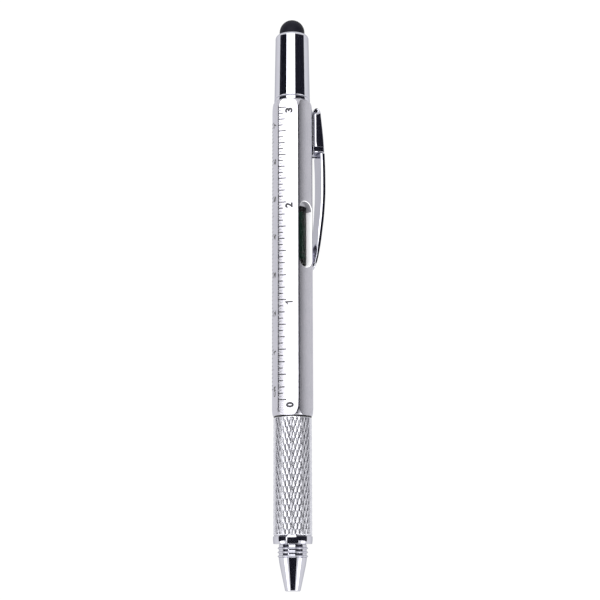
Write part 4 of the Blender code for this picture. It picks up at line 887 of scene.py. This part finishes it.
studio = pieceSizes(
    cameraX=-0.0725, cameraHeight=0.3631, targetX=-0.00215, targetHeight=0.0094, aside=-0.00193, lens=85.75, lean=0.14,
    sensor=36.0, clipRange=(0.01, 50),
    keyX=(-0.17, 1.00), keyY=(-0.275, 0.72), keyHeight=0.80, keyLevel=2.05,
    sideAngle=62, sideTilt=26, sideDistance=0.80, sideAim=(-0.06, 0, 0), sideSize=(0.80, 0.36), sideLevel=1.6,
    worldDiffuse=1.0, floorSize=6.0, floorGlow=1.02, floorShare=0.94,
    # dark cards, each between two angles about X and two tilts, in degrees
    cardRadius=0.72, cards=dict(
        cardLeft=((-31, -89.8), (0, -18)), cardLeftFar=((-37, -89.8), (-18, -32)), cardLeftNear=((-39, -89.8), (12, 0)),
        cardRight=((20, 89.6), (12, -32)), cardNose=((-33, 33), (1, 36))))


def setCamera(shape):
    # looks from the eye to the aim, leaning a little about its own axis
    camera = linkObject("camera", bpy.data.cameras.new("camera"))
    camera.data.lens, camera.data.sensor_width = shape.lens, shape.sensor
    camera.data.clip_start, camera.data.clip_end = shape.clipRange
    eye = Vector((shape.cameraX, axisY + shape.aside, shape.cameraHeight))
    aim = Vector((shape.targetX, axisY + shape.aside, shape.targetHeight))
    forward = (aim - eye).normalized()
    lean = math.radians(shape.lean)
    right = forward.cross(Vector((math.cos(lean), -math.sin(lean), 0))).normalized()
    turn = Matrix((right, right.cross(forward), -forward)).transposed().to_4x4()
    camera.matrix_world = Matrix.Translation(eye) @ turn
    bpy.context.scene.camera = camera


def softLamp(name, centre, aim, size, level):
    # power = pi * radiance * area
    light = bpy.data.lights.new(name, "AREA")
    light.shape, light.size, light.size_y = "RECTANGLE", *size
    light.energy = math.pi * level * size[0] * size[1]
    item = linkObject(name, light)
    direction = Vector(aim) - Vector(centre)
    item.matrix_world = Matrix.Translation(centre) @ direction.to_track_quat("-Z", "Y").to_matrix().to_4x4()
    item.visible_camera = False
    return item


def inDirection(angle, tilt, distance):
    # a point at a distance: angle about X from up, negative to the left of the picture; tilt is towards the nose
    return np.stack(np.broadcast_arrays(-distance * np.sin(tilt), -distance * np.cos(tilt) * np.sin(angle),
                                        distance * np.cos(tilt) * np.cos(angle)), axis=-1)


def studioLight(shape):
    # a level key lamp above, a lamp on each side, and dark cards bent round the pen that only shiny surfaces see
    (x0, x1), (y0, y1) = shape.keyX, shape.keyY
    centre = ((x0 + x1) / 2, (y0 + y1) / 2, shape.keyHeight)
    key = softLamp("key lamp", centre, (centre[0], centre[1], 0), (x1 - x0, y1 - y0), shape.keyLevel)
    key.matrix_world = Matrix.Translation(centre)
    for name, sign in (("left lamp", -1), ("right lamp", 1)):
        centre = inDirection(math.radians(sign * shape.sideAngle), math.radians(shape.sideTilt), shape.sideDistance)
        softLamp(name, centre.tolist(), shape.sideAim, shape.sideSize, shape.sideLevel)
    for name, (angles, tilts) in shape.cards.items():
        angle, tilt = np.radians(np.linspace(*angles, 24))[None], np.radians(np.linspace(*tilts, 24))[:, None]
        card = makeItem(name, [gridPart(inDirection(angle, tilt, shape.cardRadius))], "card")
        card.visible_camera = card.visible_diffuse = card.visible_shadow = False


def cameraLike(tree):
    # one for camera, glossy and transmission rays
    path = addNode(tree, "LightPath")
    kind, output = path, "Is Camera Ray"
    for ray in ("Is Glossy Ray", "Is Transmission Ray"):
        either = addNode(tree, "Math")
        either.operation = "MAXIMUM"
        wire(kind, output, either, 0)
        wire(path, ray, either, 1)
        kind, output = either, "Value"
    return kind


def paleWorld(shape):
    # white at strength 1 to the camera and to shiny surfaces, and its own level as light
    world = bpy.context.scene.world = bpy.data.worlds.new("studio world")
    world.use_nodes = True
    tree = world.node_tree
    background = setSockets(tree.nodes["Background"], Color=(1, 1, 1, 1))
    level = addNode(tree, "MapRange", To_Min=shape.worldDiffuse, To_Max=1.0)
    wire(cameraLike(tree), "Value", level, "Value")
    wire(level, "Result", background, "Strength")


def paleFloor(shape):
    # the floor shines white to the camera and to metal, and keeps a share of its lit colour for the shadow
    tree = finishes["floor"].node_tree
    glow = addNode(tree, "Emission", Color=(1, 1, 1, 1), Strength=shape.floorGlow)
    mix, share = addNode(tree, "MixShader"), addNode(tree, "Math")
    share.operation = "MULTIPLY"
    share.inputs[1].default_value = shape.floorShare
    wire(cameraLike(tree), "Value", share, 0)
    wire(share, "Value", mix, "Fac")
    wire(tree.nodes["Principled BSDF"], "BSDF", mix, 1)
    wire(glow, "Emission", mix, 2)
    wire(mix, "Shader", tree.nodes["Material Output"], "Surface")
    side = np.linspace(-shape.floorSize / 2, shape.floorSize / 2, 13)
    points = np.stack(np.broadcast_arrays(side[:, None], side[None], 0.0), axis=-1)
    floor = makeItem("floor", [gridPart(points)], "floor")
    if floor.data.polygons[0].normal.z < 0:
        floor.data.flip_normals()


setCamera(studio)
studioLight(studio)
paleWorld(studio)
paleFloor(studio)
bpy.context.scene.view_settings.view_transform = "Standard"
print("studio set")
